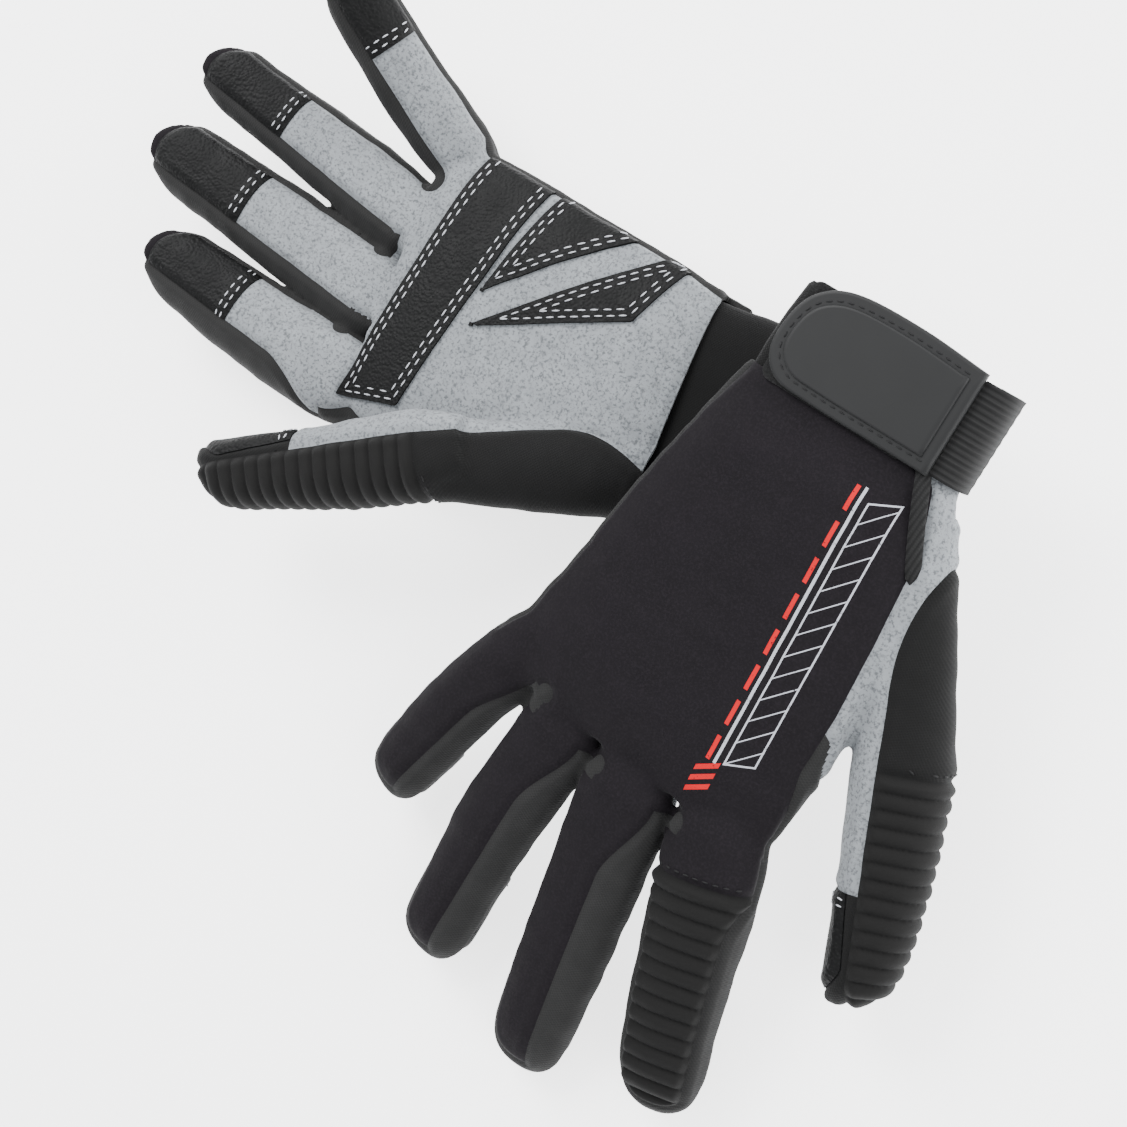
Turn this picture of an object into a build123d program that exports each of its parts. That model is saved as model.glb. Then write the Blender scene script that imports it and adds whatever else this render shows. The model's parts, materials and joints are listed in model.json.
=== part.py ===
"""Pair of full-finger sailing gloves: the left lies palm up, and the right lies palm down across its cuff.

Each glove is sewn from separate panels.  One glove is modelled in its own frame as a left hand seen from the
back: +Y runs from the wrist opening to the fingertips, +X to the thumb side, +Z out of the back, and Z = 0 is
the outer face of the palm.  The right glove is the mirror image.  Each glove has its own spread of fingers.
"""
import os
from dataclasses import dataclass
from functools import cache
from math import atan2, cos, degrees, radians, sin

from build123d import *

# Fabric
wall = 1.6  # laminate of foam rubber and lining
patch_thickness = 1.2  # grained overlays on the palm
running_gap = 0.4  # between pieces that move past each other

# Cuff
cuff_width = 64.0
cuff_height = 17.0
cuff_side_flat = 1.0  # straight stretch on each narrow side of the cuff
cuff_corner = (cuff_height - cuff_side_flat) / 2
cuff_start = -6.0
cuff_length = 27.0  # where the hand's panels begin
cuff_tuck = 6.0  # how far the cuff reaches inside the hand
cuff_base = wall + running_gap  # the cuff slips inside the palm and the back

# Wrist strap, stacked on the back of the cuff
loop_thickness = 1.0
hook_thickness = 0.8
strap_thickness = 2.0
cover_thickness = 1.0
stack_gap = 0.05  # between the hook and the loop faces
strap_width = 31.0
strap_root = 26.0  # across, on the thumb side
strap_free_end = -22.0
strap_overhang = 3.5  # how far the strap stands out past the end of the cuff
strap_margin = 3.2  # rim left around the raised cover
strap_middle = cuff_start + strap_width / 2 - strap_overhang
loop_length = 44.0
loop_width = strap_width - strap_overhang
loop_corner = 3.0
loop_centre = -3.0  # across, towards the little finger
hook_margin = 4.0  # the hook pad's edge inside the strap's
hook_root = 8.0  # the hook pad ends this far across, clear of the strap's bend
strap_roundness = 0.42  # radius of the free end's corners, as a share of the plate's width
webbing_reach = 4.0  # the webbing starts this far past the strap's root
webbing_thickness = 1.4
webbing_width = 26.0

# Hand
stack_height = loop_thickness + hook_thickness + strap_thickness + cover_thickness
strap_recess = 0.2  # the strap lies this far below the back
hand_height = cuff_base + cuff_height + stack_height + strap_recess
hand_corner = 10.0
hand_front = 140.0
hand_edge = 43.5  # straight edge on the thumb side
hand_stations = (  # along, edge on the little finger side, edge on the thumb side
    (cuff_length, -34.5, hand_edge - 9.0),
    (45.0, -38.5, hand_edge - 5.0),
    (63.0, -42.5, hand_edge - 2.0),
    (85.0, -45.5, hand_edge - 0.5),
    (106.0, -49.5, hand_edge),
    (hand_front, -57.5, hand_edge),
)
back_seam = hand_height - 7.0  # height of the seam between back and side
palm_seam = 7.0  # height of the seam between palm and side
knuckle_setback = 2.0  # the hand ends this far before the little finger's knuckle line at the edge
cutter_margin = 20.0  # how far the knuckle cutter stands out past the hand

# Finger stalls
finger_height = 19.0
finger_corner = 7.0
finger_drop = 2.0  # the stalls start this far above the palm face
finger_seam = 5.0  # seam between the palm side and the side walls
rib_seam = 14.0  # seam between the side walls and the ribbed panel
rib_start = 11.0  # the ribbed panel starts this far past the knuckle line

# Thumb
thumb_hinge_along = 90.0
thumb_angle = 23.5
thumb_width = 21.0
thumb_height = 25.0
thumb_tip_width = 17.0
thumb_length = 67.0
thumb_patch = 34.0
thumb_root_length = 30.0
thumb_corner = 7.0
thumb_passage = 8.0  # how far the root's hollow reaches into the hand
thumb_overlap = 15.0  # the left thumb lies this far in over the palm
thumb_stand_off = 0.9  # the right thumb's gap from the side of the hand
thumb_side_height = 5.0  # height of the middle of the right thumb

# Palm overlays, as corners (across, along)
bar_corners = ((-43.5, 89.0), (-48.5, 112.0), (33.0, 127.5), (30.0, 107.0))
upper_wedge_corners = ((-10.0, 95.0), (-44.0, 84.0), (-40.5, 55.0))
lower_wedge_corners = ((1.0, 95.0), (-37.0, 42.0), (-17.0, 50.0))

# Slit binding at the wrist
binding_width = 3.6
binding_length = 21.0
binding_centre = (30.5, 41.0)
binding_angle = 66.0

# Rest pose
left_heading = 186.0  # direction of the fingers, from +X
right_heading = -96.0
left_wrist = (0.0, 0.0)
right_wrist = (30.2, 31.5)
prop_along = 62.0  # the right palm clears the left cuff up to this distance from its wrist
prop_clearance = 1.0


@dataclass(frozen=True)
class Finger:
    """One finger stall: where its knuckle line crosses the palm face, its widths, and its length."""

    name: str
    across: float
    along: float
    base_width: float
    tip_width: float
    length: float
    patch: float


fingers = (
    Finger("little", -45.5, 120.0, 20.0, 16.5, 64.0, 27.0),
    Finger("ring", -25.0, 131.0, 23.0, 18.5, 83.0, 36.0),
    Finger("middle", 0.5, 134.0, 26.0, 20.5, 89.0, 41.0),
    Finger("index", 28.5, 131.0, 26.5, 20.5, 79.0, 38.0),
)


@dataclass(frozen=True)
class Pose:
    """How one glove lies: its fingers' spread towards the thumb and curl towards the palm, and its thumb.

    The thumb of the left glove has rolled over onto the palm, and that of the right one lies beside the hand.
    """

    spread: dict
    curl: dict
    thumb_across: float  # inner face of the thumb at its hinge
    thumb_centre: float  # height of the middle of the thumb
    passage_direction: tuple  # way from the thumb's root into the hand


left_pose = Pose(
    spread={"little": -40.0, "ring": -17.0, "middle": -14.0, "index": -13.0},
    curl={"little": 35.0, "ring": 10.0, "middle": 6.0, "index": 6.0},
    thumb_across=hand_edge - thumb_overlap,
    thumb_centre=-thumb_width / 2 - 2 * running_gap,
    passage_direction=(0, 0, 1),
)
right_pose = Pose(
    spread={"little": -18.0, "ring": -3.0, "middle": 8.0, "index": 17.0},
    curl={"little": 3.0, "ring": 3.0, "middle": 3.0, "index": 3.0},
    thumb_across=hand_edge + thumb_stand_off,
    thumb_centre=thumb_side_height,
    passage_direction=(-1, 0, 0),
)


def finger_plane(finger, pose):
    """Frame of a stall at rest: X across it towards the thumb, Y along it, Z out of its back."""
    flat = Plane(
        origin=(finger.across, finger.along, finger_drop),
        x_dir=(cos(radians(pose.spread[finger.name])), -sin(radians(pose.spread[finger.name])), 0),
        z_dir=(0, 0, 1),
    )
    return flat.rotated((-pose.curl[finger.name], 0, 0))


def thumb_plane(pose):
    """Frame of the thumb stall: its back looks away from the fingers, and its X points out of the palm."""
    turn = radians(thumb_angle)
    return Plane(
        origin=(pose.thumb_across, thumb_hinge_along, pose.thumb_centre),
        x_dir=(0, 0, -1),
        z_dir=(cos(turn), -sin(turn), 0),
    )


def across_plane(plane, along=0.0):
    """Plane square to a stall, a distance along it, looking towards its tip."""
    return Plane(origin=plane.from_local_coords((0, along, 0)), x_dir=plane.x_dir, z_dir=plane.y_dir)


def stall_block(plane, base_width, tip_width, start, length, height, corner, inset):
    """Solid stall outline: tapered in plan, round at the tip, with rolled edges, shrunk by the inset."""
    with BuildPart() as block:
        with BuildSketch(plane.offset(inset)):
            with Locations((0, start)):
                Circle(base_width / 2 - inset)
            with Locations((0, length - tip_width / 2)):
                Circle(tip_width / 2 - inset)
            make_hull()
        extrude(amount=height - 2 * inset)
        fillet(block.faces().filter_by(plane).edges(), corner - inset)
    return block.part


def finger_shell(finger, pose):
    """Hollow stall of one finger, open at the knuckle line."""
    plane = finger_plane(finger, pose)
    size = (finger.base_width, finger.tip_width, 0, finger.length, finger_height, finger_corner)
    with BuildPart() as shell:
        add(stall_block(plane, *size, inset=0))
        add(stall_block(plane, *size, inset=wall), mode=Mode.SUBTRACT)
        split(bisect_by=across_plane(plane), keep=Keep.TOP)
    return shell.part


def finger_pieces(finger, pose):
    """The sewn pieces of one finger: back with side walls, palm side, tip overlay, and the index's ribs."""
    plane = finger_plane(finger, pose)
    shell = finger_shell(finger, pose)
    patch_line = across_plane(plane, finger.length - finger.patch)
    pieces = {}
    with BuildPart() as palm:
        add(shell)
        split(bisect_by=plane.offset(finger_seam), keep=Keep.BOTTOM)
        split(bisect_by=patch_line, keep=Keep.BOTTOM)
    pieces[f"{finger.name}_palm"] = palm.part
    with BuildPart() as tip:
        add(shell)
        split(bisect_by=plane.offset(finger_seam), keep=Keep.BOTTOM)
        split(bisect_by=patch_line, keep=Keep.TOP)
    pieces[f"{finger.name}_tip"] = tip.part
    with BuildPart() as back:
        add(shell)
        split(bisect_by=plane.offset(finger_seam), keep=Keep.TOP)
    pieces[f"{finger.name}_back"] = back.part
    if finger.name == "index":
        with BuildPart() as ribs:
            add(back.part)
            split(bisect_by=plane.offset(rib_seam), keep=Keep.TOP)
            split(bisect_by=across_plane(plane, rib_start), keep=Keep.TOP)
        with BuildPart() as sides:
            add(back.part)
            add(ribs.part, mode=Mode.SUBTRACT)
        pieces["index_back"] = sides.part
        pieces["index_ribs"] = ribs.part
    return pieces


def thumb_block(pose, start, length, inset):
    """Solid outline of the thumb or, with a start behind the hinge, of its root."""
    size = (thumb_width, thumb_tip_width, start, length, thumb_height, thumb_corner)
    return stall_block(thumb_plane(pose), *size, inset=inset)


def thumb_pieces(pose):
    """The sewn pieces of the thumb past its hinge: ribbed back, palm side and tip overlay."""
    plane = thumb_plane(pose)
    with BuildPart() as shell:
        add(thumb_block(pose, 0, thumb_length, 0))
        add(thumb_block(pose, 0, thumb_length, wall), mode=Mode.SUBTRACT)
        split(bisect_by=across_plane(plane), keep=Keep.TOP)
    seam = plane.offset(thumb_height / 2)
    patch_line = across_plane(plane, thumb_length - thumb_patch)
    with BuildPart() as ribs:
        add(shell.part)
        split(bisect_by=seam, keep=Keep.TOP)
    with BuildPart() as palm:
        add(shell.part)
        split(bisect_by=seam, keep=Keep.BOTTOM)
        split(bisect_by=patch_line, keep=Keep.BOTTOM)
    with BuildPart() as tip:
        add(shell.part)
        split(bisect_by=seam, keep=Keep.BOTTOM)
        split(bisect_by=patch_line, keep=Keep.TOP)
    return {"thumb_ribs": ribs.part, "thumb_palm": palm.part, "thumb_tip": tip.part}


@cache
def hand_block(inset):
    """Solid outline of the hand from the cuff seam to past the knuckles, shrunk by the inset."""
    with BuildPart() as block:
        for along, outer_edge, thumb_edge in hand_stations:
            centre = ((outer_edge + thumb_edge) / 2, along, hand_height / 2)
            with BuildSketch(Plane(origin=centre, x_dir=(1, 0, 0), z_dir=(0, 1, 0))):
                RectangleRounded(
                    thumb_edge - outer_edge - 2 * inset, hand_height - 2 * inset, hand_corner - inset
                )
        loft(ruled=True)
    return block.part


def knuckle_cutter(pose):
    """Everything in front of the four knuckle lines, which leaves the hand open to the stalls."""
    outer_side = hand_stations[-1][1] - cutter_margin
    thumb_side = hand_stations[-1][2] + cutter_margin
    corners = [(outer_side, fingers[0].along - knuckle_setback)]
    for finger in fingers:
        turn = radians(pose.spread[finger.name])
        for side in (-1, 1):
            reach = side * (finger.base_width / 2 + running_gap)
            corners.append(
                (
                    finger.across + reach * cos(turn) - running_gap * sin(turn),
                    finger.along - reach * sin(turn) - running_gap * cos(turn),
                )
            )
    corners.append((thumb_side, corners[-1][1]))
    corners.append((thumb_side, hand_front + cutter_margin))
    corners.append((outer_side, hand_front + cutter_margin))
    with BuildPart() as cutter:
        with BuildSketch(Plane.XY.offset(-cutter_margin)):
            with BuildLine():
                Polyline(*corners, close=True)
            make_face()
        extrude(amount=hand_height + 2 * cutter_margin)
    return cutter.part


def thumb_root_block(pose, inset, reach):
    """Root of the thumb behind its hinge, drawn out towards the inside of the hand."""
    block = thumb_block(pose, -thumb_root_length, thumb_root_length, inset)
    passage = Vector(pose.passage_direction) * reach
    with BuildPart() as root:
        add(block)
        split(bisect_by=across_plane(thumb_plane(pose), -running_gap), keep=Keep.BOTTOM)
        add(thumb_block(pose, -thumb_root_length, -2 * running_gap, inset).moved(Location(passage)))
    return root.part


def hand_pieces(pose):
    """Back with its bound slit, palm with its thumb-side wall, outer gusset, and the root of the thumb."""
    whole_hand = hand_block(0)
    root_hollow = thumb_root_block(pose, wall, thumb_passage)
    with BuildPart() as shell:
        add(whole_hand)
        add(hand_block(wall), mode=Mode.SUBTRACT)
        add(knuckle_cutter(pose), mode=Mode.SUBTRACT)
        add(root_hollow, mode=Mode.SUBTRACT)
    with BuildPart() as binding:
        with BuildSketch(Plane.XY.offset(back_seam)):
            with Locations(binding_centre):
                SlotOverall(binding_length, binding_width, rotation=binding_angle)
        extrude(amount=hand_height)
        add(shell.part, mode=Mode.INTERSECT)
    with BuildPart() as back:
        add(shell.part)
        split(bisect_by=Plane.XY.offset(back_seam), keep=Keep.TOP)
        add(binding.part, mode=Mode.SUBTRACT)
    with BuildPart() as gusset:
        add(shell.part)
        split(bisect_by=Plane.XY.offset(back_seam), keep=Keep.BOTTOM)
        split(bisect_by=Plane.XY.offset(palm_seam), keep=Keep.TOP)
        split(bisect_by=Plane.YZ, keep=Keep.BOTTOM)
    with BuildPart() as palm:
        add(shell.part)
        split(bisect_by=Plane.XY.offset(back_seam), keep=Keep.BOTTOM)
        add(gusset.part, mode=Mode.SUBTRACT)
    with BuildPart() as root:
        add(thumb_root_block(pose, 0, thumb_passage / 2))
        add(root_hollow, mode=Mode.SUBTRACT)
        add(whole_hand, mode=Mode.SUBTRACT)
    return {
        "back_panel": back.part,
        "palm_panel": palm.part,
        "outer_gusset": gusset.part,
        "slit_binding": binding.part,
        "thumb_root": root.part,
    }


def ring_section(outer_grow, inner_grow, start, length):
    """Length of tube around the cuff's outline, between two offsets of it."""
    centre = (0, start, cuff_base + cuff_height / 2)
    with BuildPart() as ring:
        with BuildSketch(Plane(origin=centre, x_dir=(1, 0, 0), z_dir=(0, 1, 0))):
            for grow, mode in ((outer_grow, Mode.ADD), (inner_grow, Mode.SUBTRACT)):
                RectangleRounded(
                    cuff_width + 2 * grow, cuff_height + 2 * grow, cuff_corner + grow, mode=mode
                )
        extrude(amount=length)
    return ring.part


def cuff_pieces():
    """Stretch cuff, with the elastic webbing that carries the strap around its thumb side."""
    with BuildPart() as webbing:
        add(ring_section(webbing_thickness, 0, cuff_start + running_gap, webbing_width))
        split(bisect_by=Plane.YZ.offset(strap_root + webbing_reach), keep=Keep.TOP)
    cuff = ring_section(0, -wall, cuff_start, cuff_length + cuff_tuck - cuff_start)
    return {"cuff_band": cuff, "webbing": webbing.part}


def strap_plate(bottom, thickness, margin, root=strap_root):
    """Tab-shaped plate over the cuff: square at the webbing, round at the free end."""
    width = strap_width - 2 * margin
    length = root - strap_free_end - margin
    with BuildPart() as plate:
        with BuildSketch(Plane.XY.offset(bottom)):
            with Locations((root - length / 2, strap_middle)):
                Rectangle(length, width)
        extrude(amount=thickness)
        ends = plate.edges().filter_by(Axis.Z).group_by(Axis.X)[0]
        fillet(ends, width * strap_roundness)
    return plate.part


def strap_pieces():
    """Strap tab with its raised cover above and its hook pad below, and the loop patch on the cuff."""
    top = cuff_base + cuff_height
    hook_bottom = top + loop_thickness + stack_gap
    tab_bottom = hook_bottom + hook_thickness
    with BuildPart() as loop:
        with BuildSketch(Plane.XY.offset(top)):
            with Locations((loop_centre, cuff_start + loop_width / 2)):
                RectangleRounded(loop_length, loop_width, loop_corner)
        extrude(amount=loop_thickness)
    return {
        "strap_tab": strap_plate(tab_bottom, strap_thickness, 0),
        "strap_cover": strap_plate(tab_bottom + strap_thickness, cover_thickness, strap_margin),
        "strap_hook": strap_plate(hook_bottom, hook_thickness, hook_margin, root=hook_root),
        "loop_patch": loop.part,
    }


@cache
def overlay(corners):
    """Grained patch sewn on the palm, which follows the rolled edge of the hand."""
    with BuildPart() as patch:
        with BuildSketch(Plane.XY.offset(-2 * patch_thickness)):
            with BuildLine():
                Polyline(*corners, close=True)
            make_face()
        extrude(amount=2 * patch_thickness + palm_seam)
        add(hand_block(-patch_thickness), mode=Mode.INTERSECT)
        add(hand_block(0), mode=Mode.SUBTRACT)
    return patch.part


def glove_pieces(pose):
    """Every piece of one glove in its own frame, by name."""
    pieces = {}
    for finger in fingers:
        pieces.update(finger_pieces(finger, pose))
    pieces.update(thumb_pieces(pose))
    pieces.update(hand_pieces(pose))
    pieces.update(cuff_pieces())
    pieces.update(strap_pieces())
    pieces["palm_bar"] = overlay(bar_corners)
    pieces["palm_wedge_upper"] = overlay(upper_wedge_corners)
    pieces["palm_wedge_lower"] = overlay(lower_wedge_corners)
    return pieces


def right_pitch():
    """Tilt that lifts the right palm over the left cuff while its fingertips stay down."""
    lift = hand_height - cuff_base + patch_thickness + prop_clearance
    length = fingers[2].along + fingers[2].length
    return degrees(atan2(lift, length - prop_along))


def left_place():
    """Where the left glove lies: palm up, wrist at its point, back on the surface."""
    return Location((*left_wrist, hand_height)) * Location((0, 0, 0), (0, 0, left_heading - 90)) * Location(
        (0, 0, 0), (0, 180, 0)
    )


def right_place(height=0.0):
    """Where the right glove lies: palm down, wrist raised, fingertips on the surface."""
    return Location((*right_wrist, height)) * Location((0, 0, 0), (0, 0, right_heading - 90)) * Location(
        (0, 0, 0), (-right_pitch(), 0, 0)
    )


def placed_pair():
    """All pieces of both gloves, with the origin below the middle of the pair."""
    left = {name: piece.moved(left_place()) for name, piece in glove_pieces(left_pose).items()}
    mirrored = {name: piece.mirror(Plane.YZ) for name, piece in glove_pieces(right_pose).items()}
    flat = {name: piece.moved(right_place()) for name, piece in mirrored.items()}
    drop = min(piece.bounding_box().min.Z for piece in flat.values())
    right = {name: piece.moved(Location((0, 0, -drop))) for name, piece in flat.items()}
    pair = {f"left_{name}": piece for name, piece in left.items()}
    pair.update({f"right_{name}": piece for name, piece in right.items()})
    boxes = [piece.bounding_box() for piece in pair.values()]
    middle_x = (min(box.min.X for box in boxes) + max(box.max.X for box in boxes)) / 2
    middle_y = (min(box.min.Y for box in boxes) + max(box.max.Y for box in boxes)) / 2
    shift = Location((-middle_x, -middle_y, 0))
    return {name: piece.moved(shift) for name, piece in pair.items()}, shift, -drop


os.makedirs("parts", exist_ok=True)
pair, pair_shift, right_height = placed_pair()
for node, piece in pair.items():
    with BuildPart() as finished:
        add(piece)
    finished.part.label = node
    export_step(finished.part, f"parts/{node}.step")
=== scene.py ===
"""A pair of full-finger sailing gloves: neoprene backs, suede palms, grained grip patches and a wrist strap.

Each glove is modelled once as a smooth skin in its own frame, in millimetres: +X to the thumb, +Y to the
fingertips, +Z out of the back, with Z = 0 on the palm.  The skin is cut along its seams into the panels it is
sewn from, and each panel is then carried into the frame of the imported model.
"""

import json
import logging
import math
from collections.abc import Callable, Iterable, Sequence
from dataclasses import dataclass, field
from enum import Enum

import bmesh
import bpy
import numpy as np
from mathutils import Matrix, Vector, noise
from mathutils.bvhtree import BVHTree
from mathutils.kdtree import KDTree


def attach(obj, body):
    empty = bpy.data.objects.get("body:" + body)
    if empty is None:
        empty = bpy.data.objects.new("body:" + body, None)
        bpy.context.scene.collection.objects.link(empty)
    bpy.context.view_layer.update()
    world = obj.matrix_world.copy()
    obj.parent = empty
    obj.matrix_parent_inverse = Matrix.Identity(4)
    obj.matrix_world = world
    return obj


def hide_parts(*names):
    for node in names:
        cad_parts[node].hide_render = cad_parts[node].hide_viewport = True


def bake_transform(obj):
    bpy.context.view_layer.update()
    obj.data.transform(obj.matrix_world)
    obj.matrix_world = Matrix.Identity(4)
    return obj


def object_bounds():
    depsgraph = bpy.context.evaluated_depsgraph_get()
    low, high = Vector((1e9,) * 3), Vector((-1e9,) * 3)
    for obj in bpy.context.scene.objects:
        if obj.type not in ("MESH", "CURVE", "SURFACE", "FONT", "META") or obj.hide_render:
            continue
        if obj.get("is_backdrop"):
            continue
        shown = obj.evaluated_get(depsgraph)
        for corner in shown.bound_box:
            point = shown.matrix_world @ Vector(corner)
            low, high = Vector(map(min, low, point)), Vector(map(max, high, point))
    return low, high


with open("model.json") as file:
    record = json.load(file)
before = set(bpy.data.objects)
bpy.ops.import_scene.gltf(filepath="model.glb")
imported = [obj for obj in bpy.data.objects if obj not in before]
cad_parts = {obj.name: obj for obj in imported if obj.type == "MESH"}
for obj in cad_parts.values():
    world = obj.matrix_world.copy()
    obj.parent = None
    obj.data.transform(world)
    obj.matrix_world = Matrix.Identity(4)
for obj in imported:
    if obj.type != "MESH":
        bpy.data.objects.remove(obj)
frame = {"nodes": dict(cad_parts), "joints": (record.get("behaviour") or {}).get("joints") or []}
CAD_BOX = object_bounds()
MM = 0.001
log = logging.getLogger("sailing_gloves")


class Side(Enum):
    """Which hand a glove is for."""

    LEFT = "left"
    RIGHT = "right"


class Panel(Enum):
    """The cloth panels that the skin of a glove is cut into."""

    BACK = "back_panel"
    PALM = "palm_panel"
    GUSSET = "outer_gusset"
    THUMB_BACK = "thumb_back_knit"
    CUFF = "cuff_skin"
    STALL_BACK = "back"
    STALL_WALL = "wall"
    STALL_PALM = "palm"
    STALL_TIP = "tip"
    STALL_RIBS = "ribs"


# --------------------------------------------------------------------------------------------- shader nodes


class Socket:
    """A shader value that can be used in arithmetic."""

    def __init__(self, kit: "NodeKit", socket: bpy.types.NodeSocket) -> None:
        """Wraps a node's output."""
        self.kit, self.socket = kit, socket

    def _math(self, operation: str, *others: "Socket | float") -> "Socket":
        """Adds one Math node on this value.

        Args:
            operation: The Math node's operation.
            others: The other operands.

        Returns:
            The node's result.
        """
        values = {0: self, **dict(enumerate(others, 1))}
        return self.kit.add("ShaderNodeMath", {"operation": operation}, values)

    def __add__(self, other: "Socket | float") -> "Socket":
        """Sum."""
        return self._math("ADD", other)

    def __sub__(self, other: "Socket | float") -> "Socket":
        """Difference."""
        return self._math("SUBTRACT", other)

    def __rsub__(self, other: float) -> "Socket":
        """Difference with a number on the left."""
        return self.kit.add("ShaderNodeMath", {"operation": "SUBTRACT"}, {0: other, 1: self})

    def __mul__(self, other: "Socket | float") -> "Socket":
        """Product."""
        return self._math("MULTIPLY", other)

    __radd__ = __add__
    __rmul__ = __mul__

    def maximum(self, other: "Socket | float") -> "Socket":
        """The larger of two values."""
        return self._math("MAXIMUM", other)

    def absolute(self) -> "Socket":
        """The value without its sign."""
        return self._math("ABSOLUTE")

    def sine(self) -> "Socket":
        """Sine of the value in radians."""
        return self._math("SINE")

    def below(self, edge: float) -> "Socket":
        """1 where the value is below an edge, else 0."""
        return self._math("LESS_THAN", edge)

    def wrap(self, period: float) -> "Socket":
        """The value's place within a repeating period, from 0 to the period."""
        return self._math("FLOORED_MODULO", period)

    def ramp(self, low: float, high: float, out_low: float = 0.0, out_high: float = 1.0) -> "Socket":
        """The value mapped from one range to another and held at its ends."""
        values = {"Value": self, 1: low, 2: high, 3: out_low, 4: out_high}
        return self.kit.add("ShaderNodeMapRange", {"clamp": True}, values)


class NodeKit:
    """The node tree of one material, with one method that adds any node."""

    def __init__(self, name: str) -> None:
        """Starts a material with its shader."""
        self.material = bpy.data.materials.new(name)
        self.material.use_nodes = True
        self.tree = self.material.node_tree
        self.shader = self.tree.nodes["Principled BSDF"]

    def add(
        self, kind: str, settings: dict[str, object], values: dict[object, object], output: int | str = 0
    ) -> Socket:
        """Adds a node.

        Args:
            kind: The node's type.
            settings: Its settings, which are set first.
            values: A number, a colour or a Socket for each of its inputs, by name or place.
            output: The output that is wanted.

        Returns:
            That output.
        """
        node = self.tree.nodes.new(kind)
        for name, value in settings.items():
            setattr(node, name, value)
        for key, value in values.items():
            self.feed(node.inputs[key], value)
        return Socket(self, node.outputs[output])

    def feed(self, slot: bpy.types.NodeSocket, value: object) -> None:
        """Links a Socket to an input, or sets the input's own value."""
        if isinstance(value, Socket):
            self.tree.links.new(value.socket, slot)
        else:
            slot.default_value = value

    def place(self) -> Socket:
        """Object coordinates, in metres."""
        return self.add("ShaderNodeTexCoord", {}, {}, "Object")

    def cut(self) -> Socket:
        """Coordinates on the cut of the glove, in metres, which follow the cloth."""
        return self.add("ShaderNodeAttribute", {"attribute_name": "cut"}, {}, "Vector")

    def axis(self, vector: Socket, name: str) -> Socket:
        """One component of a vector."""
        return self.add("ShaderNodeSeparateXYZ", {}, {0: vector}, name)

    def noise(self, vector: Socket, scale: float, detail: float = 3.0, roughness: float = 0.5) -> Socket:
        """Noise from 0 to 1 with features of about 1 / scale metres."""
        values = {"Vector": vector, "Scale": scale, "Detail": detail, "Roughness": roughness}
        return self.add("ShaderNodeTexNoise", {}, values, 0)

    def cells(self, vector: Socket, scale: float, feature: str = "F1") -> Socket:
        """Distance within a pattern of cells about 1 / scale metres wide."""
        return self.add("ShaderNodeTexVoronoi", {"feature": feature}, {"Vector": vector, "Scale": scale}, 0)

    def mix(self, factor: Socket, low: Sequence[float] | Socket, high: Sequence[float] | Socket) -> Socket:
        """Colour between two colours."""
        colours = [c if isinstance(c, Socket) else (*c, 1.0) for c in (low, high)]
        return self.add("ShaderNodeMix", {"data_type": "RGBA"}, {0: factor, 6: colours[0], 7: colours[1]}, 2)

    def bump(self, height: Socket, distance: float, strength: float = 1.0) -> None:
        """Adds surface relief to the shader, on top of what is there.

        Args:
            height: Relief from 0 to 1.
            distance: The relief's depth in metres.
            strength: How much of it shows.
        """
        values = {"Height": height, "Distance": distance, "Strength": strength}
        if self.shader.inputs["Normal"].is_linked:
            values["Normal"] = Socket(self, self.shader.inputs["Normal"].links[0].from_socket)
        self.feed(self.shader.inputs["Normal"], self.add("ShaderNodeBump", {}, values))

    def finish(self, **values: object) -> bpy.types.Material:
        """Sets the shader's inputs, named with underscores, and returns the material."""
        for name, value in values.items():
            self.feed(self.shader.inputs[name.replace("_", " ").title().replace("Ior", "IOR")], value)
        return self.material


def _rgb(grey: float, warmth: float = 0.0) -> tuple[float, float, float]:
    """A near-grey colour, a little warm or, with a negative warmth, cool."""
    return (grey * (1 + warmth), grey, grey * (1 - warmth))


# ------------------------------------------------------------------------------------------------- finishes


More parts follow.
